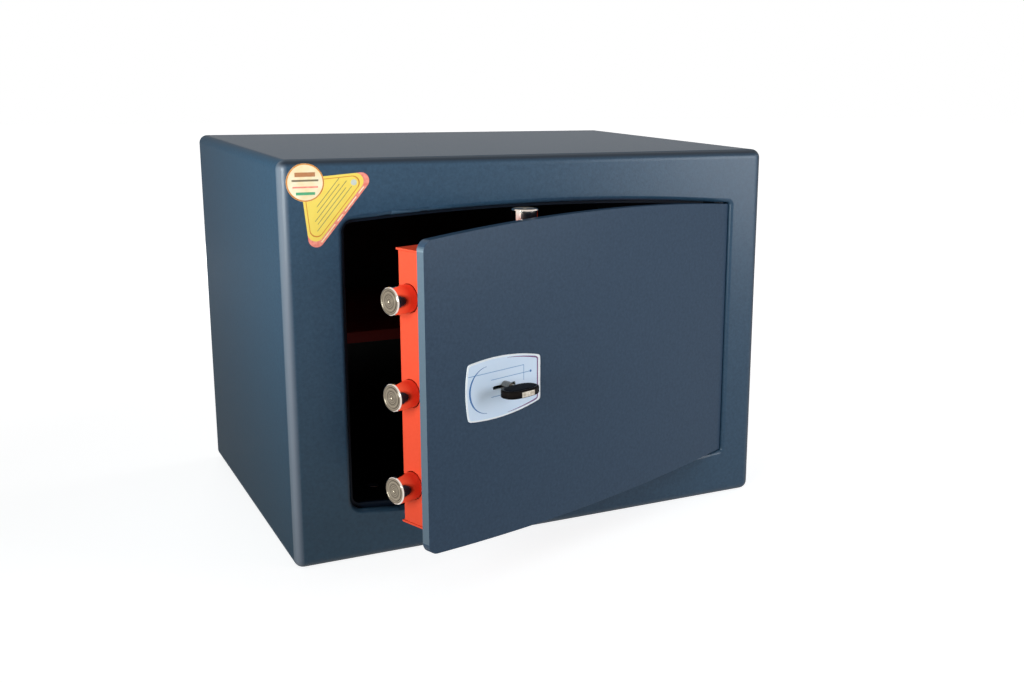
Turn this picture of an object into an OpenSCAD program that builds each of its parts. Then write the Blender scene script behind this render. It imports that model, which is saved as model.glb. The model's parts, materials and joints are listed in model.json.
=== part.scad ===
// Furniture safe with an arched door, a double-bit key lock and five sliding bolts.
// Millimetres. The origin is the centre of the base, Z is up and the door faces -Y.
// The door and all that it carries are drawn closed, then swung open by door_open.

/* [Cabinet] */
// Width of the cabinet
body_w = 456; // [450:1:520]
// Depth of the cabinet, front face to back
body_d = 335; // [300:1:420]
// Height of the cabinet
body_h = 340; // [330:1:400]
// Thickness of the cabinet's sheet
wall = 3; // [2:0.5:4]
// Outer radius of the cabinet's edges
body_r = 8; // [6:0.5:12]
// Thickness of the welded back panel
back_t = 3; // [2:0.5:4]
// Radius of each anchor hole
anchor_r = 6; // [4:0.5:8]
// Distance between the two anchor holes of a pair
anchor_pitch = 220; // [160:10:300]
// Distance from the cabinet's top to the back anchor holes
anchor_drop = 110; // [90:5:130]

/* [Opening] */
// Width of the front beside the opening on the bolt side
front_left = 49; // [46:1:56]
// Width of the front beside the opening on the hinge side
front_right = 35; // [33:1:44]
// Height of the front above the opening's sides
front_above = 49.5; // [47:0.5:54]
// Height of the front below the opening's sides
front_below = 45.5; // [44:0.5:52]
// Rise of the arched top and bottom edges
open_rise = 8; // [5:0.5:10]
// Corner radius on the bolt side
open_r = 10; // [8:0.5:14]
// Corner radius on the hinge side
hinge_side_r = 2; // [1:0.5:3]
// Radius of the rolled edge of the opening
roll_r = 4; // [3.5:0.5:5]

/* [Door frame] */
// Thickness of the frame's section
frame_t = 3; // [2:0.5:4]
// Width of the frame's flat flange
frame_w = 10; // [9:0.5:14]
// Depth of the frame behind the front face
frame_depth = 20.5; // [17:0.5:21]
// How far the door stop stands into the opening
stop_w = 3; // [2:0.5:4]
// Space between the closed door and its stop
stop_gap = 0.4; // [0.3:0.1:0.8]

/* [Door] */
// Thickness of the door plate
door_t = 8; // [7.5:0.5:8.5]
// Gap round the door
door_gap = 1.2; // [1:0.1:1.8]
// Gap at the hinge side
hinge_gap = 2; // [2:0.1:2.6]
// How far the door stands open, in degrees
door_open = 19.8; // [0:0.1:90]
// Distance from the hinge axis to the door's edge
hinge_inset = 6; // [5.5:0.5:6.5]
// Distance from the hinge axis to the door's front face
hinge_depth = 4.8; // [4.6:0.1:5]
// Radius of the hinge pins
pin_r = 2.5; // [2:0.1:2.6]
// Running clearance round the hinge pins
pin_clear = 0.05; // [0.03:0.01:0.08]
// Length of a hinge pin inside the door
pin_in_door = 14; // [10:1:20]
// Length of a hinge pin inside its block
pin_in_block = 10; // [8:1:11]
// Width of a hinge block
block_w = 16; // [14:1:18]
// Height of a hinge block
block_h = 16; // [15:1:20]
// Depth of a hinge block
block_d = 12; // [10:1:14]

/* [Bolt box] */
// Distance from the door's edge to the side of the box
box_inset = 11.8; // [11:0.1:14]
// Distance from the door's hinge edge to the box
box_hinge_inset = 40; // [30:1:60]
// Distance from the height of the opening's sides to the ends of the box
box_end = 12.5; // [10:0.5:15]
// Height of the box's centre above the opening's centre
box_rise = 1; // [0:0.5:2]
// Depth of the box behind the door plate
box_d = 38; // [37.5:0.5:40]
// Thickness of the box's sheet
box_t = 1.5; // [1:0.25:2]
// How far the end plates stand past the folded cover
end_lip = 0.5; // [0.5:0.25:2]
// Joint between the end plates and the cover
end_joint = 0.3; // [0.2:0.1:0.6]
// Radius of the threaded pillars that hold the cover
pillar_r = 4.6; // [4:0.2:5]
// Distance from the box's corners to the pillars
pillar_inset = 15; // [12:1:18]
// Radius of the cover screws
screw_r = 2; // [1.5:0.25:2.5]

/* [Bolts] */
// Radius of each bolt
bolt_r = 11; // [10:0.25:11]
// Distance from the door's front face to the bolts' axes
bolt_depth = 33; // [32.5:0.25:33.5]
// Distance from the ends of the box to the upper and lower side bolts
bolt_end = 35.5; // [34:0.5:39]
// How far the side bolts reach past the door's edge
bolt_reach = 6.6; // [5:0.2:9]
// Length of the side bolts
bolt_l = 35.6; // [34:0.2:37]
// How far the bolts slide
throw = 16; // [12:1:16]
// Edge chamfer on the bolts' ends
bolt_chamfer = 1; // [0.5:0.25:1.5]
// Clearance round a bolt in the box
bolt_clear = 0.5; // [0.3:0.1:0.8]
// Distance from the door's bolt edge to the top and bottom bolts
rod_side = 133.8; // [130:0.2:138]
// How far the top and bottom bolts reach past the door's edge
rod_reach = 3.5; // [2.5:0.5:5]
// Length of the top and bottom bolts
rod_bolt_l = 44; // [40:1:46]

/* [Bolt work] */
// Thickness of the carriage's sheet
carriage_t = 3; // [2:0.25:3.5]
// Distance from the door's front face to the carriage's web
web_depth = 36; // [35.5:0.25:36.5]
// Width of the flat rods that drive the top and bottom bolts
rod_w = 20; // [18:1:22]
// Thickness of the flat rods
rod_t = 3; // [2.5:0.25:3.5]
// Radius of the drive pins
drive_r = 3; // [2.5:0.25:3.5]
// Clearance on each side of a pin or stud in its slot
slot_clear = 0.1; // [0.05:0.05:0.2]
// Spare length at each end of a slot
slot_end = 0.4; // [0.3:0.1:0.8]
// Distance from the opening's centre line to each drive pin
drive_z = 28; // [26:1:30]
// Radius of the guide studs
stud_r = 3.5; // [3:0.25:4]

/* [Lock] */
// Distance from the door's bolt edge to the keyhole
key_side = 78.2; // [77:0.2:81]
// Drop of the keyhole below the opening's centre
key_drop = 1; // [0:0.5:2]
// Width of the key slot
slot_w = 24.4; // [23.4:0.2:26]
// Height of the key slot
slot_h = 3; // [2.8:0.1:3.4]
// Thickness of the hardened drill plate
drill_t = 3; // [2:0.5:3]
// Depth of the lock case
case_d = 18; // [17:0.5:18]
// Width of the lock case
case_w = 56; // [54:1:58]
// Height of the lock case
case_h = 84; // [80:1:88]
// Thickness of the lock case's walls
case_t = 3; // [2:0.5:3.5]
// Thickness of the lock's cover
cover_t = 2; // [1.5:0.25:2.5]
// Radius of the lock's rotor
rotor_r = 6.5; // [6:0.25:7.5]
// Number of tumbler plates
tumblers = 6; // [4:1:6]
// Thickness of a tumbler plate
tumbler_t = 1.2; // [0.8:0.1:1.2]

/* [Key] */
// Radius of the key's shank
shank_r = 3; // [2.5:0.25:3.2]
// Width of the key's two bits, tip to tip
bit_w = 22; // [20:0.5:22.5]
// Thickness of the bits
bit_t = 2.4; // [2:0.1:2.6]
// Length of the bits
bit_l = 11; // [9:0.5:11]
// Width of the bow
bow_w = 38; // [36:1:46]
// Length of the bow
bow_l = 17.6; // [16:0.2:22]
// Thickness of the bow
bow_t = 5.4; // [5:0.1:7]
// Distance from the door's front face to the bow
bow_gap = 10.6; // [9:0.2:14]

/* [Label] */
// Width of the keyhole label
label_w = 80; // [70:1:86]
// Height of the keyhole label
label_h = 50; // [46:1:56]
// Thickness of the keyhole label
label_t = 0.8; // [0.5:0.1:1.2]

/* [Shelf] */
// Height of the shelf's top face above the opening's centre
shelf_rise = 5.5; // [-10:0.5:20]
// Distance from the front face to the shelf
shelf_setback = 111; // [100:1:160]
// Thickness of the shelf's sheet
shelf_t = 1.5; // [1:0.25:2]
// Height of the shelf's folded edges
shelf_edge = 10; // [8:0.5:16]
// Space between the shelf and the walls
shelf_gap = 3; // [2:0.5:5]
// Size of each shelf bracket
bracket_w = 14; // [10:1:20]
// Length of each shelf bracket
bracket_l = 30; // [20:2:50]

/* [Hidden] */
$fn = 48;
// segments on the long arcs of the opening
arc_fn = 720;
// a cut runs this far past the face that it opens
over = 1;

// Places in the closed door's frame: x to the hinge side, y up, z towards the viewer.
// The front face is z = 0, so what lies behind it has a negative z.
front_y = -body_d / 2;
open_w = body_w - front_left - front_right;
open_h = body_h - front_above - front_below;
open_x = (front_left - front_right) / 2;
open_z = (body_h + front_below - front_above) / 2;
open_left = open_x - open_w / 2;
open_right = open_x + open_w / 2;
edge_x = open_right - hinge_gap;
door_left = open_left + door_gap;
pivot_x = edge_x - hinge_inset;
pivot_y = front_y + hinge_depth;

// radius of the arched edges, and the height of the arc's centre above the opening's middle
arc_r = (pow(open_w / 2, 2) + pow(open_rise, 2)) / (2 * open_rise);
arc_c = open_h / 2 + open_rise - arc_r;
// half height of the outline grown by g, at a distance dx from the middle of the opening
function half_h(dx, g) = arc_c + sqrt(pow(arc_r + g, 2) - dx * dx);
pivot_half = half_h(pivot_x - open_x, 0);

box_left = door_left + box_inset;
box_right = edge_x - box_hinge_inset;
box_z = open_z + box_rise;
box_h = open_h - 2 * box_end;
box_back = door_t + box_d;
bolt_z = open_z - key_drop;
bolt_pitch = box_h / 2 - bolt_end;
tip_x = door_left - bolt_reach;
tail_x = tip_x + bolt_l;
rod_x = door_left + rod_side;
rod_top = half_h(rod_x - open_x, -door_gap) + rod_reach;
rod_tail = rod_top - rod_bolt_l;

key_x = door_left + key_side;
key_z = open_z - key_drop;
cover_b = door_t + drill_t;
case_b = cover_b + cover_t;
case_back = cover_b + case_d + cover_t;
ear_h = 15;
ear_t = 2.5;
lock_screw_x = case_w / 2 - 8;
lock_screw_z = case_h / 2 + ear_h / 2;
lock_screw_r = 2.5;
swing_r = bit_w / 2 + 1;
journal_clear = 0.05;
bit_b = case_b + 1;

web_left = tail_x + carriage_t;
web_right = rod_x + 36;
arm_h = 2 * (drive_z + 12);
guide_z = lock_screw_z + 16;
flange_h = 2 * max(bolt_pitch + bolt_r, guide_z + stud_r + 5);
flange_b = bolt_depth - bolt_r;
guide_x = web_left + throw + 8;
rod_guide = max(rod_tail - throw - 14, arm_h / 2 + stud_r + 4.5);
bar_z = swing_r + 1;
bar_h = 18;
bar_t = 4;
bar_b = case_back - case_t - bar_t - 1;
bar_end = key_x + case_w / 2 - case_t - throw - 2;

shelf_z = open_z + shelf_rise;
shelf_front = front_y + shelf_setback;
shelf_back = body_d / 2 - back_t - 2;
shelf_half = body_w / 2 - wall - shelf_gap;

blue = [0.27, 0.33, 0.40];
red = [0.95, 0.30, 0.18];
steel = [0.72, 0.72, 0.70];
zinc = [0.60, 0.61, 0.62];

// Puts a piece drawn in the door's frame on the cabinet's front face
module on_front() {
    translate([0, front_y, 0]) rotate([90, 0, 0]) children();
}

// Puts a piece drawn in the closed door's frame on the door, swung open
module on_door() {
    translate([pivot_x, pivot_y, 0]) rotate([0, 0, door_open])
        translate([-pivot_x, -pivot_y, 0]) on_front() children();
}

// Extrudes a flat shape from depth b0 to depth b1 behind the front face
module behind(b0, b1) {
    translate([0, 0, -b1]) linear_extrude(b1 - b0) children();
}

// Rectangle about the origin with round corners
module round_rect(w, h, r) {
    square([w - 2 * r, h], center = true);
    square([w, h - 2 * r], center = true);
    for (sx = [-1, 1], sy = [-1, 1])
        translate([sx * (w / 2 - r), sy * (h / 2 - r)]) circle(r);
}

// Slot about the origin, len long between the centres of its round ends
module slot_2d(len, r) {
    square([len, 2 * r], center = true);
    for (s = [-1, 1]) translate([s * len / 2, 0]) circle(r);
}

// Key slot: a flat slot for the bits and a round hole for the shank
module key_slot() {
    square([slot_w, slot_h], center = true);
    circle(shank_r + 0.6);
}

// Centre of an upper corner's radius: s is -1 on the bolt side and 1 on the hinge side
function corner(s) = [s * (open_w / 2 - corner_r(s)),
    arc_c + sqrt(pow(arc_r - corner_r(s), 2) - pow(open_w / 2 - corner_r(s), 2))];
function corner_r(s) = s < 0 ? open_r : hinge_side_r;
// Point past the outline on the line from the arc's centre through that corner's centre
function past(s) = [0, arc_c] + (corner(s) - [0, arc_c]) * (arc_r + 30) / (arc_r - corner_r(s));
// Sectors of the upper half: the arch, then a corner and a straight side
arch_sector = [corner(-1), past(-1), past(1), corner(1), [corner(1)[0], 0], [corner(-1)[0], 0]];
function corner_sector(s) = [corner(s), past(s), [s * open_w, past(s)[1]], [s * open_w, corner(s)[1]]];
function side_sector(s) = [[0, corner(s)[1]], [s * open_w, corner(s)[1]], [s * open_w, 0], [0, 0]];

// Moves in whole millimetres, then by what is left
module at(p) {
    translate([floor(p[0]), floor(p[1])])
        translate([p[0] - floor(p[0]), p[1] - floor(p[1])]) children();
}

// Outline of the opening, grown outwards by g, about the opening's centre
module barrel(g) {
    for (m = [0, 1]) mirror([0, m]) {
        intersection() {
            at([0, arc_c]) circle(arc_r + g, $fn = arc_fn);
            polygon(arch_sector);
        }
        for (s = [-1, 1]) {
            intersection() {
                at(corner(s)) circle(max(corner_r(s) + g, 0.2));
                polygon(corner_sector(s));
            }
            intersection() {
                translate([s > 0 ? 0 : -open_w / 2 - g, 0]) square([open_w / 2 + g, open_h]);
                polygon(side_sector(s));
            }
        }
    }
}

// Keeps what lies in one sector
module in_sector(points) {
    intersection() {
        translate([0, 0, -50]) linear_extrude(60) polygon(points);
        children();
    }
}

// Sweeps a profile round the opening: its x is the distance out from the edge, its y the z
module rim() {
    for (m = [0, 1]) mirror([0, m, 0]) {
        in_sector(arch_sector)
            at([0, arc_c]) rotate_extrude($fn = arc_fn) translate([arc_r, 0]) children();
        for (s = [-1, 1]) {
            in_sector(corner_sector(s))
                at(corner(s)) rotate_extrude() translate([corner_r(s), 0]) children();
            in_sector(side_sector(s)) translate([s * open_w / 2, 0, 0]) mirror([s > 0 ? 0 : 1, 0, 0])
                rotate([90, 0, 0]) translate([0, 0, -open_h]) linear_extrude(open_h) children();
        }
    }
}

// Block with its front face's edges, its four front corners and its four long edges rounded
module rounded_block() {
    half_w = body_w / 2 - body_r;
    half_h = body_h / 2 - body_r;
    translate([0, body_d / 2, body_h / 2]) rotate([90, 0, 0]) {
        linear_extrude(body_d - body_r) round_rect(body_w, body_h, body_r);
        translate([-half_w, -half_h, 0]) cube([2 * half_w, 2 * half_h, body_d]);
        translate([0, 0, body_d - body_r]) for (s = [-1, 1]) {
            translate([-half_w, s * half_h, 0]) rotate([0, 90, 0]) cylinder(h = 2 * half_w, r = body_r);
            translate([s * half_w, half_h, 0]) rotate([90, 0, 0]) cylinder(h = 2 * half_h, r = body_r);
            for (t = [-1, 1]) translate([s * half_w, t * half_h, 0]) sphere(body_r);
        }
    }
}

// Section of what is cut away to round the edge of the opening
module roll_section() {
    difference() {
        translate([-0.5, -roll_r]) square([roll_r + 0.5, roll_r + 0.5]);
        translate([roll_r, -roll_r]) circle(roll_r);
    }
}

// Space of a hinge block: s is 1 at the top and -1 at the bottom
module hinge_block_space(s) {
    translate([pivot_x - block_w / 2, s > 0 ? pivot_half : -pivot_half - block_h, -wall - block_d])
        cube([block_w, block_h, block_d]);
}

// Bore for a hinge pin in its block
module hinge_bore(s) {
    translate([pivot_x, 0, -hinge_depth]) rotate([-90 * s, 0, 0])
        translate([0, 0, pivot_half - over])
            cylinder(h = pin_in_block + 0.3 + over, r = pin_r + pin_clear);
}

module cabinet_shell() {
    color(blue) difference() {
        rounded_block();
        difference() {
            translate([0, body_d / 2 + over, body_h / 2]) rotate([90, 0, 0])
                linear_extrude(body_d - wall + over)
                    round_rect(body_w - 2 * wall, body_h - 2 * wall, body_r - wall);
            on_front() translate([open_x, open_z, 0]) behind(wall - over, roll_r) barrel(wall);
        }
        on_front() translate([open_x, open_z, 0]) {
            behind(-over, roll_r + over) barrel(0);
            rim() roll_section();
        }
        on_front() translate([0, open_z, 0]) for (s = [-1, 1]) {
            hinge_block_space(s);
            hinge_bore(s);
        }
        for (s = [-1, 1]) translate([s * anchor_pitch / 2, 0, -over])
            cylinder(h = wall + 2 * over, r = anchor_r);
    }
}

module back_panel() {
    color(blue) translate([0, body_d / 2, body_h / 2]) rotate([90, 0, 0]) difference() {
        linear_extrude(back_t)
            round_rect(body_w - 2 * wall, body_h - 2 * wall, body_r - wall);
        for (s = [-1, 1])
            translate([s * anchor_pitch / 2, body_h / 2 - anchor_drop, -over])
                cylinder(h = back_t + 2 * over, r = anchor_r);
    }
}

// Section of the frame: a spacer welded to the front sheet, a flange and a web
module frame_section() {
    stop_b = door_t + stop_gap;
    translate([frame_w - frame_t, -stop_b - frame_t]) square([frame_t, stop_b + frame_t - wall]);
    translate([0, -stop_b - frame_t]) square([frame_w, frame_t]);
    translate([0, -frame_depth]) square([frame_t, frame_depth - stop_b]);
}

module door_frame() {
    color(blue) on_front() translate([0, open_z, 0]) difference() {
        translate([open_x, 0, 0]) rim() frame_section();
        for (s = [-1, 1]) hinge_block_space(s);
    }
}

module door_stop() {
    stop_b = door_t + stop_gap;
    color(blue) on_front() translate([0, open_z, 0]) behind(stop_b, stop_b + frame_t)
        intersection() {
            translate([open_x, 0]) difference() {
                barrel(0);
                barrel(-stop_w);
            }
            translate([open_left - over, -open_h])
                square([pivot_x - block_w - open_left, 2 * open_h]);
        }
}

module hinge_block(s) {
    color(zinc) on_front() translate([0, open_z, 0]) difference() {
        hinge_block_space(s);
        hinge_bore(s);
    }
}

module hinge_block_top() {
    hinge_block(1);
}

module hinge_block_bottom() {
    hinge_block(-1);
}

module shelf() {
    depth = shelf_back - shelf_front;
    color(red) translate([0, shelf_front, shelf_z]) {
        translate([-shelf_half, 0, -shelf_t]) cube([2 * shelf_half, depth, shelf_t]);
        for (y = [0, depth - shelf_t])
            translate([-shelf_half, y, -shelf_edge]) cube([2 * shelf_half, shelf_t, shelf_edge]);
        translate([-shelf_half, 0, -shelf_edge]) cube([2 * shelf_half, 6, shelf_t]);
    }
}

module shelf_brackets() {
    depth = shelf_back - shelf_front;
    color(blue) for (s = [-1, 1], y = [0.2, 0.75])
        translate([s * (body_w / 2 - wall), shelf_front + y * depth, shelf_z - shelf_t])
            rotate([90, 0, 0]) translate([0, 0, -bracket_l / 2])
                linear_extrude(bracket_l) mirror([s > 0 ? 1 : 0, 0])
                    translate([0, -bracket_w]) difference() {
                        square(bracket_w);
                        translate([shelf_t, -over]) square([bracket_w, bracket_w - shelf_t + over]);
                    }
}

// The door's outline, cut straight at the hinge edge
module door_2d() {
    intersection() {
        translate([open_x, 0]) barrel(-door_gap);
        translate([open_left, -open_h]) square([edge_x - open_left, 2 * open_h]);
    }
}

// Four places about the lock for its screws
module at_lock_screws() {
    for (sx = [-1, 1], sz = [-1, 1])
        translate([key_x + sx * lock_screw_x, key_z + sz * lock_screw_z, 0]) children();
}

module door_plate() {
    color(blue) on_door() difference() {
        translate([0, open_z, 0]) behind(0, door_t) door_2d();
        translate([key_x, key_z, 0]) behind(-over, door_t + over) key_slot();
        translate([0, open_z, 0]) for (s = [-1, 1]) pin_space(s, 0);
        at_lock_screws() translate([0, 0, -door_t - over]) cylinder(h = 5 + over, r = lock_screw_r);
    }
}

// A hinge pin: s is 1 at the top and -1 at the bottom, grow fits it to its hole
module pin_space(s, grow) {
    door_half = half_h(pivot_x - open_x, -door_gap);
    translate([pivot_x, 0, -hinge_depth]) rotate([-90 * s, 0, 0])
        translate([0, 0, door_half - pin_in_door])
            cylinder(h = pin_in_door + door_gap + pin_in_block, r = pin_r + grow);
}

module hinge_pins() {
    color(steel) on_door() translate([0, open_z, 0]) for (s = [-1, 1]) pin_space(s, 0);
}

// Folded cover of the bolt work: two sides and a back from one sheet
module bolt_cover() {
    half = box_h / 2 - box_t - end_joint;
    color(red) on_door() translate([0, box_z, 0]) difference() {
        translate([0, half, 0]) rotate([90, 0, 0]) linear_extrude(2 * half) difference() {
            cover_plan(0);
            cover_plan(box_t);
        }
        for (z = [-1, 0, 1])
            translate([box_left - over, bolt_z - box_z + z * bolt_pitch, -bolt_depth])
                rotate([0, 90, 0]) cylinder(h = box_t + 2 * over, r = bolt_r + bolt_clear);
        at_pillars() translate([0, 0, -box_back - over])
            cylinder(h = box_t + 2 * over, r = screw_r + 0.2);
    }
}

// Plan of the cover, moved inwards by t, open at the door plate
module cover_plan(t) {
    r = 3 - t;
    x0 = box_left + t;
    x1 = box_right - t;
    back = -box_back + t;
    translate([x0, back + r]) square([x1 - x0, -back - r - door_t + (t > 0 ? over : 0)]);
    translate([x0 + r, back]) square([x1 - x0 - 2 * r, r + 0.5]);
    for (x = [x0 + r, x1 - r]) translate([x, back + r]) circle(r);
}

// An end plate of the bolt work, s is 1 at the top
module end_plate(s) {
    color(red) on_door() translate([0, box_z, 0]) difference() {
        translate([box_left - end_lip, s > 0 ? box_h / 2 - box_t : -box_h / 2, -box_back - end_lip])
            cube([box_right - box_left + 2 * end_lip, box_t, box_d + end_lip]);
        translate([rod_x, s * box_h / 2, -bolt_depth]) rotate([90, 0, 0])
            translate([0, 0, -box_t - over])
                cylinder(h = 2 * box_t + 2 * over, r = bolt_r + bolt_clear);
    }
}

module end_plate_top() {
    end_plate(1);
}

module end_plate_bottom() {
    end_plate(-1);
}

// Four places inside the corners of the bolt work
module at_pillars() {
    for (x = [box_left + pillar_inset, box_right - pillar_inset], s = [-1, 1])
        translate([x, s * (box_h / 2 - pillar_inset), 0]) children();
}

module cover_pillars() {
    color(zinc) on_door() translate([0, box_z, 0]) at_pillars() difference() {
        translate([0, 0, -box_back + box_t])
            cylinder(h = box_d - box_t, r = pillar_r, $fn = 6);
        translate([0, 0, -box_back + box_t - over]) cylinder(h = 12 + over, r = screw_r);
    }
}

module cover_screws() {
    color(steel) on_door() translate([0, box_z, 0]) at_pillars() {
        translate([0, 0, -box_back]) cylinder(h = 10, r = screw_r);
        translate([0, 0, -box_back - 2.2]) difference() {
            cylinder(h = 2.2, r = 2 * screw_r);
            translate([0, 0, -over]) cylinder(h = 1.2 + over, r = screw_r * 0.75, $fn = 6);
        }
    }
}

// A stud on the back of the door: it holds what it guides with a collar at its end
module stud(b1) {
    translate([0, 0, -b1]) cylinder(h = b1 - door_t, r = stud_r);
    translate([0, 0, -b1 - 3]) cylinder(h = 3, r = stud_r + 2.5);
}

module guide_studs() {
    web_back = web_depth + carriage_t + 0.3;
    color(zinc) on_door() {
        for (s = [-1, 1]) translate([guide_x, bolt_z + s * guide_z, 0]) stud(web_back);
        translate([web_right - 12, bolt_z, 0]) stud(web_back);
        for (s = [-1, 1]) translate([rod_x, open_z + s * rod_guide, 0])
            stud(bolt_depth + rod_t / 2 + 0.3);
    }
}

// Outline of the label: arched top and bottom, a bowed left side and a straight right side
module label_2d(inset) {
    crown = -label_w * 0.11;
    offset(r = 3) offset(delta = -3 - inset) intersection() {
        translate([crown, label_h / 2 - 190]) circle(190, $fn = 360);
        translate([crown, 190 - label_h / 2]) circle(190, $fn = 360);
        translate([105 - label_w / 2, 0]) circle(105, $fn = 240);
        translate([-label_w, -label_h]) square([1.5 * label_w, 2 * label_h]);
    }
}

module keyhole_label() {
    color([0.78, 0.85, 0.93]) on_door() translate([key_x, key_z, 0]) behind(-label_t, 0)
        difference() {
            label_2d(0);
            key_slot();
        }
}

module drill_plate() {
    color(zinc) on_door() translate([key_x, key_z, 0]) difference() {
        behind(door_t, cover_b) difference() {
            round_rect(case_w + 12, case_h + 2 * ear_h + 6, 4);
            key_slot();
        }
        lock_screw_holes(door_t, cover_b);
    }
}

// Holes for the lock's screws, from depth b0 to depth b1
module lock_screw_holes(b0, b1) {
    for (sx = [-1, 1], sz = [-1, 1])
        translate([sx * lock_screw_x, sz * lock_screw_z, -b1 - over])
            cylinder(h = b1 - b0 + 2 * over, r = lock_screw_r + 0.3);
}

module lock_cover() {
    color(steel) on_door() translate([key_x, key_z, 0]) difference() {
        behind(cover_b, case_b) difference() {
            round_rect(case_w, case_h + 2 * ear_h, 3);
            square([slot_w, slot_h], center = true);
        }
        translate([0, 0, -case_b - over])
            cylinder(h = cover_t + 2 * over, r = rotor_r + journal_clear);
        lock_screw_holes(cover_b, case_b);
    }
}

module lock_case() {
    color(steel) on_door() translate([key_x, key_z, 0]) difference() {
        union() {
            behind(case_b, case_back) round_rect(case_w, case_h, 3);
            behind(case_b, case_b + ear_t) round_rect(case_w, case_h + 2 * ear_h, 3);
        }
        behind(case_b - over, case_back - case_t)
            square([case_w - 2 * case_t, case_h - 2 * case_t], center = true);
        translate([0, 0, -case_back - over])
            cylinder(h = case_t + 2 * over, r = rotor_r / 2 + journal_clear);
        translate([-case_w / 2 - over, bar_z - 0.3, -bar_b - bar_t - 0.3])
            cube([case_t + 2 * over, bar_h + 0.6, bar_t + 0.6]);
        lock_screw_holes(case_b, case_b + ear_t);
    }
}

module lock_screws() {
    head_b = case_b + ear_t;
    color(zinc) on_door() at_lock_screws() {
        translate([0, 0, -head_b]) cylinder(h = head_b - door_t + 4.5, r = lock_screw_r);
        translate([0, 0, -head_b - 3]) difference() {
            cylinder(h = 3, r = 4.25);
            translate([0, 0, -over]) cylinder(h = 1.5 + over, r = 1.8, $fn = 6);
        }
    }
}

// Tumbler plates: each has a window for the bits and a gate for the bar's post
module lock_tumblers() {
    pitch = tumbler_t + 0.3;
    inner_w = case_w - 2 * case_t;
    inner_h = case_h - 2 * case_t;
    color([0.78, 0.62, 0.28]) on_door() translate([key_x, key_z, 0])
        for (i = [0 : tumblers - 1]) behind(case_b + 0.2 + i * pitch, case_b + 0.2 + i * pitch + tumbler_t)
            difference() {
                round_rect(inner_w - 0.6, inner_h - 0.6, 2);
                circle(swing_r + 0.4);
                translate([-8, -inner_h / 2 + 8 + i]) square([16, 4]);
                translate([(i % 2 == 0 ? -1 : 1) * (inner_w / 2 - 5), inner_h / 2 - 10]) circle(3);
            }
}

module lock_rotor() {
    front = cover_b + 0.2;
    color(steel) on_door() translate([key_x, key_z, 0]) difference() {
        union() {
            translate([0, 0, -case_back + case_t + 0.2])
                cylinder(h = case_back - case_t - 0.2 - front, r = rotor_r);
            translate([0, 0, -case_back]) cylinder(h = case_t + 0.3, r = rotor_r / 2);
        }
        translate([0, 0, -case_back + case_t + 2.2])
            cylinder(h = case_back, r = shank_r + journal_clear);
        translate([-rotor_r - over, -bit_t / 2 - 0.1, -case_back + case_t + 2.2])
            cube([2 * rotor_r + 2 * over, bit_t + 0.2, case_back]);
    }
}

module key_blade() {
    tip = case_back - case_t - 3;
    color(steel) on_door() translate([key_x, key_z, 0]) {
        translate([0, 0, -tip]) cylinder(h = tip + bow_gap + 6, r = shank_r);
        translate([0, 0, 1.2]) cylinder(h = bow_gap - 2, r = shank_r + 1.2);
        rotate([90, 0, 0]) translate([0, 0, -bit_t / 2]) linear_extrude(bit_t)
            for (s = [0, 1]) mirror([s, 0]) bit_2d();
    }
}

// One bit of the key in plan: five steps of different heights
module bit_2d() {
    steps = [0, 2.5, 1, 3.5, 0];
    step_l = bit_l / len(steps);
    for (i = [0 : len(steps) - 1])
        translate([0, -bit_b - (i + 1) * step_l]) square([bit_w / 2 - steps[i], step_l]);
}

module key_bow() {
    cut = bow_w * 0.17;
    hw = bow_w / 2;
    y0 = bow_gap;
    y1 = bow_gap + bow_l;
    color([0.08, 0.08, 0.09]) on_door() translate([key_x, key_z, 0]) difference() {
        rotate([90, 0, 0]) translate([0, 0, -bow_t / 2]) linear_extrude(bow_t)
            polygon([[-hw + cut, y0], [hw - cut, y0], [hw, y0 + cut], [hw, y1 - cut],
                [hw - cut, y1], [cut - hw, y1], [-hw, y1 - cut], [-hw, y0 + cut]]);
        translate([0, 0, bow_gap - over]) cylinder(h = 7 + over, r = shank_r);
    }
}

// A slot in the carriage: a pin that starts at (x, y) moves by (dx, dy) along it
module carriage_slot(x, y, dx, dy, r) {
    len = sqrt(dx * dx + dy * dy) + 2 * slot_end;
    translate([x + dx / 2, y + dy / 2]) rotate(atan2(dy, dx)) slot_2d(len, r + slot_clear);
}

// Carriage: a flange that carries the side bolts, and a web with the guide and cam slots
module bolt_carriage() {
    color(zinc) on_door() difference() {
        union() {
            translate([tail_x, bolt_z - flange_h / 2, -web_depth - carriage_t])
                cube([carriage_t, flange_h, web_depth + carriage_t - flange_b]);
            behind(web_depth, web_depth + carriage_t) difference() {
                union() {
                    translate([tail_x, bolt_z - flange_h / 2]) square([throw + 34, flange_h]);
                    translate([tail_x, bolt_z - arm_h / 2]) square([web_right - tail_x, arm_h]);
                }
                for (s = [-1, 1]) {
                    carriage_slot(guide_x, bolt_z + s * guide_z, -throw, 0, stud_r);
                    carriage_slot(rod_x, open_z + s * drive_z, -throw, -s * throw, drive_r);
                }
                carriage_slot(web_right - 12, bolt_z, -throw, 0, stud_r);
            }
        }
        for (z = [-1, 0, 1])
            translate([tail_x - over, bolt_z + z * bolt_pitch, -bolt_depth])
                rotate([0, 90, 0]) cylinder(h = carriage_t + 2 * over, r = bolt_r / 2);
        translate([tail_x - over, key_z + bar_z, -bar_b - bar_t])
            cube([carriage_t + 2 * over, bar_h, bar_t]);
    }
}

// A bolt along +Z: a bar with a chamfered end
module bolt_bar(l) {
    cylinder(h = l - bolt_chamfer, r = bolt_r);
    translate([0, 0, l - bolt_chamfer])
        cylinder(h = bolt_chamfer, r1 = bolt_r, r2 = bolt_r - bolt_chamfer);
}

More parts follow.
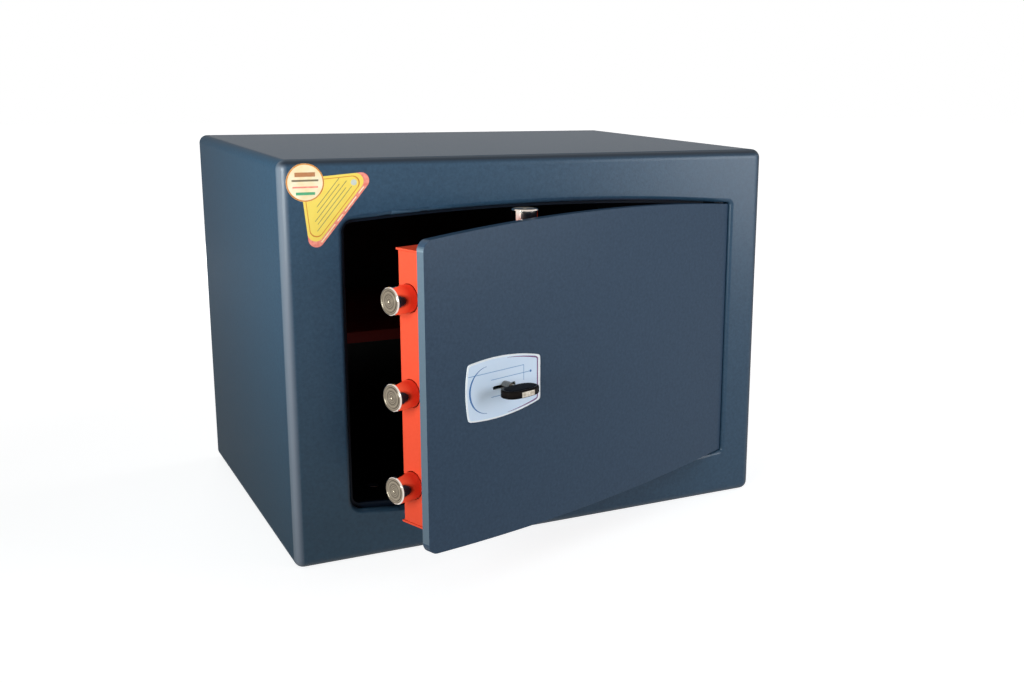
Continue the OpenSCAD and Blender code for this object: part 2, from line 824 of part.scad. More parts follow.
// A side bolt: its spigot is riveted into the carriage's flange
module side_bolt(i) {
    color(steel) on_door() translate([tail_x, bolt_z + i * bolt_pitch, -bolt_depth])
        rotate([0, -90, 0]) {
            bolt_bar(bolt_l);
            translate([0, 0, -carriage_t]) cylinder(h = carriage_t + over, r = bolt_r / 2);
        }
}

module side_bolt_upper() {
    side_bolt(1);
}

module side_bolt_middle() {
    side_bolt(0);
}

module side_bolt_lower() {
    side_bolt(-1);
}

module lock_bar() {
    color(zinc) on_door() translate([tail_x, key_z + bar_z, -bar_b - bar_t])
        cube([bar_end - tail_x, bar_h, bar_t]);
}

// A flat rod with its drive pin, drawn for the top
module rod_shape() {
    foot = drive_z - drive_r - 5;
    translate([rod_x, 0, 0]) {
        behind(bolt_depth - rod_t / 2, bolt_depth + rod_t / 2) difference() {
            translate([-rod_w / 2, foot]) square([rod_w, rod_tail + 12 - foot]);
            translate([0, rod_guide + throw / 2]) rotate(90)
                slot_2d(throw + 2 * slot_end, stud_r + slot_clear);
            translate([0, rod_tail + 6]) circle(3);
        }
        translate([0, drive_z, -web_depth - carriage_t - 0.5])
            cylinder(h = web_depth + carriage_t + 0.5 - bolt_depth, r = drive_r);
    }
}

// A top or bottom bolt with the slot that takes its rod and the rivet through both
module rod_bolt_shape() {
    translate([rod_x, 0, -bolt_depth]) difference() {
        translate([0, rod_tail, 0]) rotate([-90, 0, 0]) bolt_bar(rod_bolt_l);
        translate([-bolt_r - over, rod_tail - over, -rod_t / 2])
            cube([2 * bolt_r + 2 * over, 12 + over, rod_t]);
    }
    translate([rod_x, rod_tail + 6, -bolt_depth - rod_t / 2]) cylinder(h = rod_t, r = 3);
}

module top_rod() {
    color(zinc) on_door() translate([0, open_z, 0]) rod_shape();
}

module top_bolt() {
    color(steel) on_door() translate([0, open_z, 0]) rod_bolt_shape();
}

module bottom_rod() {
    color(zinc) on_door() translate([0, open_z, 0]) mirror([0, 1, 0]) rod_shape();
}

module bottom_bolt() {
    color(steel) on_door() translate([0, open_z, 0]) mirror([0, 1, 0]) rod_bolt_shape();
}

cabinet_shell();
back_panel();
door_frame();
door_stop();
hinge_block_top();
hinge_block_bottom();
shelf();
shelf_brackets();
door_plate();
hinge_pins();
bolt_cover();
end_plate_top();
end_plate_bottom();
cover_pillars();
cover_screws();
guide_studs();
keyhole_label();
drill_plate();
lock_cover();
lock_case();
lock_screws();
lock_tumblers();
lock_rotor();
key_blade();
key_bow();
bolt_carriage();
side_bolt_upper();
side_bolt_middle();
side_bolt_lower();
lock_bar();
top_rod();
top_bolt();
bottom_rod();
bottom_bolt();
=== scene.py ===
"""Dresses a small steel furniture safe: powder coat, plated bolts, printed film and the key.

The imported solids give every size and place. A door piece is drawn face on, as the closed
door shows itself, in millimetres: x to the hinges, z up and b the depth behind its front.
"""
import json
import logging
import math
from dataclasses import dataclass
from enum import Enum
from typing import Iterable, Optional, Sequence

import bmesh
import bpy
from mathutils import Matrix, Vector

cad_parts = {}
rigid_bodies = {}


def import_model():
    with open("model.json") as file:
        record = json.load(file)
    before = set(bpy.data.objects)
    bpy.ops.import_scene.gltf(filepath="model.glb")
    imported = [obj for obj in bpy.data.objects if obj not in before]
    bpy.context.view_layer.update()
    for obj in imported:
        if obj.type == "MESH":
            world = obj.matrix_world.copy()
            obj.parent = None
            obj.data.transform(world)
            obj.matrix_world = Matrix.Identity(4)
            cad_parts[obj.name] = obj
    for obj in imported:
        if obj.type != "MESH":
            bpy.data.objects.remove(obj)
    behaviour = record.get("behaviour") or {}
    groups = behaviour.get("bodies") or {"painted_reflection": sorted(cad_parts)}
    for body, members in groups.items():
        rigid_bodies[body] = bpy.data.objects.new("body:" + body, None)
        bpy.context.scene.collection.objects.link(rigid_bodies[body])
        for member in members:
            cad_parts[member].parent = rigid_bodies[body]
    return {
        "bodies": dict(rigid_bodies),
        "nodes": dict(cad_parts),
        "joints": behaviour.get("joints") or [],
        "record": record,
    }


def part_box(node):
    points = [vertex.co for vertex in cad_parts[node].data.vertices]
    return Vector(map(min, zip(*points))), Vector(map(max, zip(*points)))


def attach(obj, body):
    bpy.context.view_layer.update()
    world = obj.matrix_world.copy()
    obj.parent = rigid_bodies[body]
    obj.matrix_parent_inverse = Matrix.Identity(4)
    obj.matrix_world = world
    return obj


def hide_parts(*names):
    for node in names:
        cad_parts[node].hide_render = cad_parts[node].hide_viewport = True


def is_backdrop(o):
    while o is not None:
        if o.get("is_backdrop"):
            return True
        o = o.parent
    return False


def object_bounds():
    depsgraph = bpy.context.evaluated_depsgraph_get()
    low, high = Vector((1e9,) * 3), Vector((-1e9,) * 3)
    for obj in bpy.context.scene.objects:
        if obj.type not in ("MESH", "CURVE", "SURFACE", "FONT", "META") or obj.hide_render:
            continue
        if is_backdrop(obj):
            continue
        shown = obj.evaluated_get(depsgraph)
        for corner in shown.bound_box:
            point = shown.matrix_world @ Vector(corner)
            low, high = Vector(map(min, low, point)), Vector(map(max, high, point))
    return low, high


log = logging.getLogger("safe")
MM = 0.001
COAT_IOR = 1.5
ARRIS_DEG = 40.0
WHITE = (1.0, 1.0, 1.0, 1.0)
Point = tuple[float, float]
Line = Sequence[Point]
Shape = bmesh.types.BMesh
Piece = bpy.types.Object
Socket = bpy.types.NodeSocket
Outputs = bpy.types.bpy_prop_collection
Look = tuple[Socket, Socket]


# ---- Colour and node help ----


def linear(colour: str) -> tuple[float, ...]:
    """Turns an sRGB hex colour into the linear values that a shader wants.

    Args:
        colour: such as "#4a5a6b".

    Returns:
        Red, green, blue and an alpha of 1.
    """
    parts = [int(colour[i : i + 2], 16) / 255 for i in (1, 3, 5)]
    return (*(c / 12.92 if c <= 0.04045 else ((c + 0.055) / 1.055) ** 2.4 for c in parts), 1.0)


class Graph:
    """A node tree, with a short method for each kind of node that repeats."""

    def __init__(self, tree: bpy.types.NodeTree) -> None:
        """Takes a tree and empties it."""
        self.tree = tree
        tree.nodes.clear()

    def add(self, kind: str, settings: Optional[dict] = None, **inputs: object) -> Outputs:
        """Adds a node with its settings, values and links.

        Args:
            kind: the node's type, such as "ShaderNodeMath".
            settings: the node's own properties by name.
            inputs: a value or a socket for each input, named in_0 by place, or by its name
                with _ for a space.

        Returns:
            The new node's outputs.
        """
        node = self.tree.nodes.new(kind)
        for key, value in (settings or {}).items():
            setattr(node, key, value)
        for key, value in inputs.items():
            at = int(key[3:]) if key.startswith("in_") else key.replace("_", " ")
            if isinstance(value, Socket):
                self.tree.links.new(value, node.inputs[at])
            else:
                node.inputs[at].default_value = value
        return node.outputs

    def math(self, operation: str, *values: object) -> Socket:
        """Returns the result of a sum on values or sockets."""
        inputs = {f"in_{k}": value for k, value in enumerate(values)}
        return self.add("ShaderNodeMath", {"operation": operation}, **inputs)[0]

    def within(self, value: Socket, low: float, high: float) -> Socket:
        """Returns 1 where a value lies between low and high, else 0."""
        return self.math("COMPARE", value, (low + high) / 2, (high - low) / 2)

    def ramp(
        self, value: Socket, start: float, end: float, low: float = 0.0, high: float = 1.0
    ) -> Socket:
        """Returns low where a value is at start, high where it is at end, and a mix between."""
        ends = {"in_1": start, "in_2": end, "in_3": low, "in_4": high}
        return self.add("ShaderNodeMapRange", Value=value, **ends)[0]

    def gloss(self, pattern: Socket, roughness: float, swing: Point) -> Socket:
        """Returns a roughness that swings with a pattern."""
        return self.ramp(pattern, 0.0, 1.0, *(roughness + d for d in swing))

    def blend(self, amount: Socket, base: object, over: object) -> Socket:
        """Returns a mix of two colours, each a hex text or a socket."""
        a, b = (linear(c) if isinstance(c, str) else c for c in (base, over))
        return self.add("ShaderNodeMix", {"data_type": "RGBA"}, in_0=amount, in_6=a, in_7=b)[2]

    def noise(self, place: Socket, scale: float, detail: float, rough: float = 0.5) -> Socket:
        """Returns a cloudy pattern from 0 to 1."""
        sizes = {"Scale": scale, "Detail": detail, "Roughness": rough}
        return self.add("ShaderNodeTexNoise", Vector=place, **sizes)["Fac"]

    def bump(self, height: Socket, strength: float, depth_mm: float) -> Socket:
        """Returns the normals of a surface that a pattern raises by up to depth_mm."""
        size = {"Strength": strength, "Distance": depth_mm * MM}
        return self.add("ShaderNodeBump", Height=height, **size)[0]

    def place(self) -> Socket:
        """Returns the place in the object's own metres."""
        return self.add("ShaderNodeTexCoord")["Object"]

    def axes(self, vector: Socket) -> Outputs:
        """Returns a vector's X, Y and Z."""
        return self.add("ShaderNodeSeparateXYZ", Vector=vector)

    def seen(self) -> Socket:
        """Finds the rays that come from the camera, a mirror or glass.

        Returns:
            1 for those rays, else 0.
        """
        ray = self.add("ShaderNodeLightPath")
        shown = self.math("MAXIMUM", ray["Is Camera Ray"], ray["Is Glossy Ray"])
        return self.math("MAXIMUM", shown, ray["Is Transmission Ray"])


# ---- Finishes ----


@dataclass(frozen=True)
class Surface:
    """A finish with a name; each kind of finish makes its own shader."""

    name: str

    def build(self) -> bpy.types.Material:
        """Builds the material round the shader.

        Returns:
            The new material.
        """
        material = bpy.data.materials.new(self.name)
        material.use_nodes = True
        graph = Graph(material.node_tree)
        graph.add("ShaderNodeOutputMaterial", Surface=self.shader(graph))
        return material

    def shader(self, graph: Graph) -> Socket:
        """Makes the shader in the kinds below, each with its own nodes."""
        raise NotImplementedError


@dataclass(frozen=True)
class PowderCoat(Surface):
    """Polyester powder, sprayed dry and baked on steel: satin, even, with a fine orange peel.

    The peel of the real coat is under a millimetre, so it is drawn a little coarser to show.
    It scatters what the coat mirrors at a low angle.
    """

    colour: str
    mottle: str
    roughness: float = 0.3
    swing: Point = (-0.04, 0.05)
    shine: float = 0.3
    graze: float = 0.003
    bend: Point = (0.05, 0.22)
    cloud_mm: float = 2.6
    peel_mm: float = 1.6
    peel_height: float = 0.1

    def shader(self, graph: Graph) -> Socket:
        """Makes the shader.

        Args:
            graph: the tree that gets the nodes.

        Returns:
            The shader's socket.
        """
        place = graph.place()
        bent = graph.add("ShaderNodeFresnel", IOR=COAT_IOR)[0]
        shine = graph.ramp(bent, *self.bend, self.shine, self.graze)
        cloud = graph.noise(place, 1000 / self.cloud_mm, detail=3.0, rough=0.6)
        look = (graph.blend(cloud, self.colour, self.mottle), shine)
        # The coats below paint shade and highlight into the colour here.
        colour, shine = self.paint_light(graph, place, look)
        peel = graph.noise(place, 1000 / self.peel_mm, detail=2.0)
        return graph.add(
            "ShaderNodeBsdfPrincipled", Base_Color=colour, Specular_IOR_Level=shine,
            Roughness=graph.gloss(cloud, self.roughness, self.swing), IOR=COAT_IOR,
            Normal=graph.bump(peel, strength=0.6, depth_mm=self.peel_height),
        )[0]

    def paint_light(self, graph: Graph, place: Socket, look: Look) -> Look:
        """Returns the colour and the shine as they are; a coat with painted shade or highlight
        changes them.
        """
        return look


@dataclass(frozen=True)
class CabinetCoat(PowderCoat):
    """The cabinet's coat, with painted shade and painted highlight over it: the faces inside the
    folded sheet are painted near black as painted shade.

    A paler tone on the front left fold is a painted highlight, and a darker tone on the front's
    top and right folds and towards the lower left is painted shade. The wiped top shines a
    little more at a low angle. Lengths here are in metres.
    """

    # The colours below: near black painted shade for the inner faces, a paler painted highlight for
    # the front left fold, and darker painted shade for the front's top and right folds and for the
    # lower left.
    inside: str = "#0a0c10"
    thin: str = "#707681"
    painted_fold_shade: str = "#14222f"
    painted_low_shade: str = "#102c38"
    top_shine: float = 0.0075
    wall: float = 0.003
    rear_skin: float = 0.0005
    low_shade_level: float = 0.5
    low_shade_height: float = 0.2
    low_shade_reach: float = 0.85
    thin_band: Point = (0.0075, 0.003)
    front_band: Point = (0.0085, 0.003)
    fold_shade_band: Point = (0.0058, 0.0025)
    top_skin: float = 0.0002

    def paint_light(self, graph: Graph, place: Socket, look: Look) -> Look:
        """Paints shade and highlight over the coat: the near black inside, the darker lower left
        and the folds.

        Args:
            graph: the tree that gets the nodes.
            place: the place in metres.
            look: the plain coat's colour and shine.

        Returns:
            The coat's colour with its painted shade and highlight, and its shine.
        """
        colour, shine = look
        low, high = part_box("cabinet_shell")
        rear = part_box("back_panel")[1][1]
        skin = 0.9 * self.wall
        axes = graph.axes(place)
        x, y, z = (axes[name] for name in "XYZ")
        across = graph.within(x, skin - high[0], high[0] - skin)
        upright = graph.within(z, low[2] + skin, high[2] - skin)
        behind = graph.within(y, low[1] + 1.15 * self.wall, rear - self.rear_skin)
        inner = graph.math("MULTIPLY", graph.math("MULTIPLY", across, upright), behind)
        # Painted shade: the faces inside the cabinet are painted near black.
        colour = graph.blend(inner, colour, self.inside)
        # Painted shade: the paint is darker towards the bottom and towards the left.
        foot = graph.ramp(z, low[2] + self.low_shade_height, low[2], 0.0, self.low_shade_level)
        leftward = graph.ramp(x, 0.0, self.low_shade_reach * low[0])
        colour = graph.blend(graph.math("MULTIPLY", foot, leftward), colour, self.painted_low_shade)
        # Painted highlight: the front left fold is painted a paler tone.
        fold_x = graph.ramp(x, *(low[0] + d for d in self.thin_band))
        fold_y = graph.ramp(y, *(low[1] + d for d in self.front_band))
        colour = graph.blend(graph.math("MULTIPLY", fold_x, fold_y), colour, self.thin)
        # Painted shade: the front's top and right folds are painted darker.
        over = graph.ramp(z, *(high[2] - d for d in self.fold_shade_band))
        aside = graph.ramp(x, *(high[0] - d for d in self.fold_shade_band))
        rim = graph.math("MULTIPLY", graph.math("MAXIMUM", over, aside), fold_y)
        colour = graph.blend(rim, colour, self.painted_fold_shade)
        top = graph.math("GREATER_THAN", z, high[2] - self.top_skin)
        return colour, graph.add("ShaderNodeMix", in_0=top, in_2=shine, in_3=self.top_shine)[0]


@dataclass(frozen=True)
class DoorCoat(PowderCoat):
    """The door's coat, painted paler along its left edge as a painted highlight, by a face
    attribute.
    """

    # Painted highlight: the paler tone of the door's left edge.
    thin: str = "#7a8791"

    def paint_light(self, graph: Graph, place: Socket, look: Look) -> Look:
        """Returns the colour with its painted highlight on the edge, and the shine as it is."""
        # Painted highlight: the face attribute says how much paler the edge is painted.
        highlight = graph.add("ShaderNodeAttribute", {"attribute_name": "edge_highlight"})["Fac"]
        return graph.blend(highlight, look[0], self.thin), look[1]


@dataclass(frozen=True)
class TurnedNickel(Surface):
    """Turned steel bar with bright nickel plate: a warm grey mirror with fine rings.

    The piece's UV map gives u, the distance along the turned profile in millimetres. The
    turned end within face_mm is duller, and the side is tinted red towards the root as a painted
    reflection of the red box.
    """

    colour: str = "#e8dcd2"
    ring: str = "#b2a591"
    groove: str = "#4c443a"
    painted_reflection: str = "#c87c72"
    roughness: float = 0.09
    swing: Point = (0.2, 0.0)
    ring_mm: float = 0.8
    face_mm: float = 10.4
    reflection_mm: Point = (2.0, 13.0)

    def shader(self, graph: Graph) -> Socket:
        """Makes the shader.

        Args:
            graph: the tree that gets the nodes.

        Returns:
            The shader's socket.
        """
        along = graph.axes(graph.add("ShaderNodeUVMap")[0])["X"]
        place = graph.add("ShaderNodeCombineXYZ", X=along)[0]
        rings = graph.noise(place, 1 / self.ring_mm, detail=4.0)
        turned = graph.blend(graph.ramp(rings, 0.4, 0.6), self.groove, self.ring)
        side = graph.ramp(along, self.face_mm, self.face_mm + 0.3)
        # Painted reflection: the plate is tinted red from near the end towards the root.
        film = graph.ramp(along, *(self.face_mm + d for d in self.reflection_mm))
        plate = graph.blend(film, self.colour, self.painted_reflection)
        uv_map = {"direction_type": "UV_MAP", "uv_map": "UVMap"}
        return graph.add(
            "ShaderNodeBsdfPrincipled", Base_Color=graph.blend(side, turned, plate), Metallic=1.0,
            Roughness=graph.gloss(side, self.roughness, self.swing),
            Normal=graph.bump(rings, strength=0.4, depth_mm=0.03),
            Anisotropic=graph.ramp(side, 0.0, 1.0, 0.8, 0.0),
            Tangent=graph.add("ShaderNodeTangent", uv_map)[0],
        )[0]


@dataclass(frozen=True)
class PlainMetal(Surface):
    """Sheet or bar metal as it comes: plated, rolled or cast, with faint grain and dull patches."""

    colour: str
    shade: str
    roughness: float = 0.35
    swing: Point = (-0.08, 0.1)
    grain_mm: float = 2.5

    def shader(self, graph: Graph) -> Socket:
        """Returns the shader, whose pattern changes its colour, gloss and normals together."""
        patch = graph.noise(graph.place(), 1000 / self.grain_mm, detail=4.0)
        return graph.add(
            "ShaderNodeBsdfPrincipled", Base_Color=graph.blend(patch, self.shade, self.colour),
            Roughness=graph.gloss(patch, self.roughness, self.swing), Metallic=1.0,
            Normal=graph.bump(patch, strength=0.3, depth_mm=0.03),
        )[0]


@dataclass(frozen=True)
class MouldedPlastic(Surface):
    """Injection-moulded nylon: near black, with a fine spark-eroded grain and level layers."""

    colour: str
    shade: str
    roughness: float = 0.24
    swing: Point = (-0.06, 0.06)
    grain_mm: float = 0.7
    layer_mm: float = 1.3
    shine: float = 0.3

    def shader(self, graph: Graph) -> Socket:
        """Makes the shader; the layers show on the upright sides.

        Args:
            graph: the tree that gets the nodes.

        Returns:
            The shader's socket.
        """
        place = graph.place()
        grain = graph.noise(place, 1000 / self.grain_mm, detail=2.0)
        layers = graph.add(
            "ShaderNodeTexWave", {"wave_type": "BANDS", "bands_direction": "Z"}, Vector=place,
            Scale=1000 / self.layer_mm / 20, Distortion=0.6,
        )["Fac"]
        return graph.add(
            "ShaderNodeBsdfPrincipled", Base_Color=graph.blend(layers, self.colour, self.shade),
            Roughness=graph.gloss(grain, self.roughness, self.swing),
            Specular_IOR_Level=self.shine,
            Normal=graph.bump(grain, strength=0.4, depth_mm=0.05),
        )[0]


@dataclass(frozen=True)
class PrintedFilm(Surface):
    """Printed polyester film under a clear laminate: flat colour, smooth and slightly wavy."""

    colour: str
    shade: str
    roughness: float = 0.28
    blend_mm: float = 14.0

    def shader(self, graph: Graph) -> Socket:
        """Returns the shader, a wash of two tones."""
        wash = graph.noise(graph.place(), 1000 / self.blend_mm, detail=2.0)
        return graph.add(
            "ShaderNodeBsdfPrincipled", Base_Color=graph.blend(wash, self.colour, self.shade),
            Roughness=self.roughness, IOR=COAT_IOR,
            Normal=graph.bump(wash, strength=0.1, depth_mm=0.1),
        )[0]


class Finish(Enum):
    """Every finish on the safe."""

    PAINT = CabinetCoat("blue_grey_powder_coat", "#1e3549", "#355065")
    DOOR_PAINT = DoorCoat("blue_grey_powder_coat_door", "#1f3449", "#354c62", shine=0.2)
    # Painted shade: near black for the parts inside the cabinet.
    INNER_PAINT = PowderCoat("inside_painted_shade_coat", "#0a0c10", "#101318", roughness=0.5)
    # Painted shade: the frame, the stop and the hinge blocks in the opening are painted near black
    # blue.
    FRAME_PAINT = PowderCoat("frame_painted_shade_coat", "#0a121c", "#0f1926", 0.4, shine=0.1)
    RED = PowderCoat(
        "orange_red_powder_coat", "#e6492e", "#ee5336", 0.45, shine=0.12, peel_height=0.03
    )
    # Painted shade: the shelf is in the box's red, painted dark.
    SHELF_SHADED_RED = PowderCoat("shelf_red_painted_shade_coat", "#5e100c", "#6a1610", roughness=0.45)
    BOLT = TurnedNickel("turned_nickel_plated_steel")
    ZINC = PlainMetal("zinc_plated_steel", "#a9adb2", "#8b9096", roughness=0.38)
    STEEL = PlainMetal("bright_rolled_steel", "#b4b2ad", "#96948f", roughness=0.28, grain_mm=1.5)
    BLACK_STEEL = PlainMetal("blackened_steel", "#23252a", "#17191d", roughness=0.45, grain_mm=1.5)
    KEY_STEEL = PlainMetal(
        "nickel_plated_key_steel", "#98938b", "#66625b", roughness=0.2, grain_mm=1.0
    )
    INLAY = PlainMetal("brushed_steel_inlay", "#e6dfd2", "#6e5f48", roughness=0.22, grain_mm=3.0)
    BRASS = PlainMetal("stamped_brass", "#8f7034", "#775a28", roughness=0.36)
    BOW = MouldedPlastic("black_moulded_nylon", "#050506", "#1d1815", shine=0.03)
    BOW_PANEL = MouldedPlastic("blue_black_moulded_nylon", "#04060c", "#070a12", shine=0.003)
    LABEL_WHITE = PrintedFilm("white_printed_film", "#ffffff", "#fbfdff")
    LABEL_BLUE = PrintedFilm("pale_blue_printed_film", "#dcecff", "#e6f1ff")
    LABEL_ARC = PrintedFilm("blue_ink_film", "#2c6aa8", "#3a78b6", blend_mm=5.0)
    LABEL_LINE = PrintedFilm("light_blue_ink_film", "#5f93c6", "#7aa6d2", blend_mm=5.0)
    LABEL_PURPLE = PrintedFilm("purple_ink_film", "#6a4a86", "#8a3a62", blend_mm=20.0)
    CREAM = PrintedFilm("cream_printed_film", "#eec478", "#fff6e2", blend_mm=9.0)
    ORANGE = PrintedFilm("orange_ink_film", "#d98a2e", "#c8761f", blend_mm=4.0)
    YELLOW = PrintedFilm("yellow_printed_film", "#eecb50", "#f4d968", blend_mm=9.0)
    PALE_RED = PrintedFilm("pale_red_ink_film", "#d8382a", "#ffb4a0", blend_mm=3.0)
    BROWN = PrintedFilm("brown_ink_film", "#a8643c", "#c08858", blend_mm=2.0)
    GREEN = PrintedFilm("green_ink_film", "#3f9a68", "#56a878", blend_mm=4.0)
    GREY = PrintedFilm("grey_ink_film", "#6e6148", "#84765a", blend_mm=4.0)
    SILVER = PrintedFilm("silver_ink_film", "#b9bdb4", "#d2d4c8", blend_mm=3.0)


# ---- Mesh help ----


def finish_mesh(
    bm: Shape, name: str, place: Matrix, arris: float = 0.0, smooth_deg: float = 32.0,
    flat: bool = False,
) -> Piece:
    """Turns a closed shape in millimetres into a piece at the origin, in metres.

    Args:
        bm: the shape; it is freed.
        name: the piece's name.
        place: turns millimetre coordinates into the frame's metres.
        arris: radius in millimetres that rounds every sharp edge, or 0.
        smooth_deg: edges that turn more than this stay sharp.
        flat: shade every face flat, as on thin films.

    Returns:
        The new object.
    """
    bmesh.ops.remove_doubles(bm, verts=bm.verts, dist=1e-5)
    bmesh.ops.recalc_face_normals(bm, faces=bm.faces)
    if arris > 0:
        least = math.radians(ARRIS_DEG)
        sharp = [e for e in bm.edges if e.is_manifold and e.calc_face_angle(0.0) > least]
        bmesh.ops.bevel(
            bm, geom=sharp, offset=arris, offset_type="OFFSET", segments=3, profile=0.5,
            affect="EDGES", clamp_overlap=True,
        )
    bm.transform(place)
    mesh = bpy.data.meshes.new(name)
    bm.to_mesh(mesh)
    bm.free()
    mesh.polygons.foreach_set("use_smooth", [not flat] * len(mesh.polygons))
    mesh.set_sharp_from_angle(angle=math.radians(smooth_deg))
    piece = bpy.data.objects.new(name, mesh)
    bpy.context.scene.collection.objects.link(piece)
    if arris > 0:
        even = piece.modifiers.new("even_normals", "WEIGHTED_NORMAL")
        even.keep_sharp = True
        even.weight = 100
    return piece


def bake(piece: Piece) -> Piece:
    """Turns a piece's modifiers into plain mesh.

    Args:
        piece: the piece.

    Returns:
        The same piece.
    """
    result = piece.evaluated_get(bpy.context.evaluated_depsgraph_get())
    shape = bpy.data.meshes.new_from_object(result)
    shape.name = piece.name
    piece.modifiers.clear()
    piece.data = shape
    return piece


def slab_shape(outline: Line, near: float, far: float) -> Shape:
    """Extrudes a closed outline between two depths.

    Args:
        outline: points (x, z), in order.
        near: depth of its front face.
        far: depth of its back face.

    Returns:
        The shape, with coordinates x, b, z.
    """
    bm = bmesh.new()
    front = [bm.verts.new((x, near, z)) for x, z in outline]
    back = [bm.verts.new((x, far, z)) for x, z in outline]
    bm.faces.new(front)
    bm.faces.new(list(reversed(back)))
    for i in range(len(outline)):
        j = (i + 1) % len(outline)
        bm.faces.new((front[i], back[i], back[j], front[j]))
    return bm


def inset_triangle(corners: Line, inset: Sequence[float]) -> list[Point]:
    """Moves each side of an anticlockwise triangle inwards by its own distance.

    Args:
        corners: the three corners.
        inset: a distance for each side, the first for the side from corner 0 to corner 1.

    Returns:
        The new corners.
    """
    lines = []
    for i in range(3):
        a, b = Vector(corners[i]), Vector(corners[(i + 1) % 3])
        along = (b - a).normalized()
        inwards = Vector((-along.y, along.x))
        lines.append((a + inwards * inset[i], along))
    points: list[Point] = []
    for i in range(3):
        (p, u), (q, v) = lines[i - 1], lines[i]
        w = q - p
        s = (w.x * v.y - w.y * v.x) / (u.x * v.y - u.y * v.x)
        points.append((p.x + s * u.x, p.y + s * u.y))
    return points


def arc(centre: Point, r: float, turns: Iterable[float]) -> list[Point]:
    """Returns the points of a circle at the given turns, in radians."""
    return [(centre[0] + r * math.cos(t), centre[1] + r * math.sin(t)) for t in turns]


def circle(centre: Point, r: float, count: int = 64) -> list[Point]:
    """Returns a whole circle's points, anticlockwise."""
    return arc(centre, r, (2 * math.pi * k / count for k in range(count)))


def grown(corners: Line, r: float, step: float = 12.0) -> list[Point]:
    """Grows a convex outline outwards by r with round corners.

    Args:
        corners: the outline's points, anticlockwise.
        r: how far it grows.
        step: largest turn in degrees between two points of a corner.

    Returns:
        The grown outline.
    """
    out: list[Point] = []
    n = len(corners)
    for i in range(n):
        before, here, after = (Vector(corners[k % n]) for k in (i - 1, i, i + 1))
        a, b = here - before, after - here
        if a.length < 1e-9 or b.length < 1e-9:
            continue
        start = math.atan2(-a.x, a.y)
        turn = math.atan2(a.x * b.y - a.y * b.x, a.dot(b))
        count = max(1, math.ceil(abs(math.degrees(turn)) / step))
        for k in range(count + 1) if count > 1 else (0.5,):
            angle = start + turn * k / count
            out.append((here.x + r * math.cos(angle), here.y + r * math.sin(angle)))
    return out


def ring_shape(outer: Line, inner: Line, near: float, far: float) -> Shape:
    """Makes a flat band between two outlines.

    Args:
        outer: the outer outline.
        inner: the inner one, with as many points.
        near: depth of its front face.
        far: depth of its back face.

    Returns:
        The shape.
    """
    bm = bmesh.new()
    rows = [
        [bm.verts.new((x, b, z)) for x, z in line]
        for line, b in ((outer, near), (inner, near), (inner, far), (outer, far))
    ]
    n = len(outer)
    for k in range(4):
        a, b = rows[k], rows[(k + 1) % 4]
        for i in range(n):
            j = (i + 1) % n
            bm.faces.new((a[i], a[j], b[j], b[i]))
    return bm


def strip(points: Line, width: float | Sequence[float], near: float, far: float) -> Shape:
    """Makes a thin printed line of changing width along a path.

    Args:
        points: the path.
        width: the line's width, or its width at each point.
        near: depth of its front face.
        far: depth of its back face.

    Returns:
        The shape.
    """
    widths = [width] * len(points) if isinstance(width, float) else width
    left: list[Point] = []
    right: list[Point] = []
    for i, (here, wide) in enumerate(zip(points, widths)):
        before, after = points[max(i - 1, 0)], points[min(i + 1, len(points) - 1)]
        along = (Vector(after) - Vector(before)).normalized()
        side = Vector((-along.y, along.x)) * wide / 2
        left.append((here[0] + side.x, here[1] + side.y))
        right.append((here[0] - side.x, here[1] - side.y))
    return slab_shape(left + right[::-1], near, far)


def lathe_shape(profile: Line, segments: int = 72) -> Shape:
    """Turns a profile about the Z axis; its UV map holds the distance along the profile.

    Args:
        profile: points (radius, height) in millimetres, from axis to axis.
        segments: steps round the axis.

    Returns:
        The closed shape.
    """
    bm = bmesh.new()
    layer = bm.loops.layers.uv.new("UVMap")
    rows = []
    for r, h in profile:
        if r < 1e-6:
            rows.append([bm.verts.new((0, 0, h))] * segments)
        else:
            turns = [2 * math.pi * k / segments for k in range(segments)]
            rows.append([bm.verts.new((r * math.cos(t), r * math.sin(t), h)) for t in turns])
    run = [0.0]
    for a, b in zip(profile, profile[1:]):
        run.append(run[-1] + math.dist(a, b))
    for i in range(len(rows) - 1):
        for k in range(segments):
            corners: dict[bmesh.types.BMVert, Point] = {}
            for row, turn in ((i, k), (i, k + 1), (i + 1, k + 1), (i + 1, k)):
                corners.setdefault(rows[row][turn % segments], (run[row], turn / segments))
            if len(corners) > 2:
                face = bm.faces.new(list(corners))
                for corner, uv in zip(face.loops, corners.values()):
                    corner[layer].uv = uv
    return bm


def cut(piece: Piece, tools: Iterable[Piece]) -> Piece:
    """Cuts tools out of a piece and bakes the result.

    Args:
        piece: the piece.
        tools: the cutters, which are removed.

    Returns:
        The same piece.
    """
    tools = list(tools)
    for tool in tools:
        step = piece.modifiers.new("cut", "BOOLEAN")
        step.object = tool
        step.solver = "EXACT"
        piece.modifiers.move(len(piece.modifiers) - 1, 0)
    bake(piece)
    for tool in tools:
        bpy.data.objects.remove(tool)
    return piece


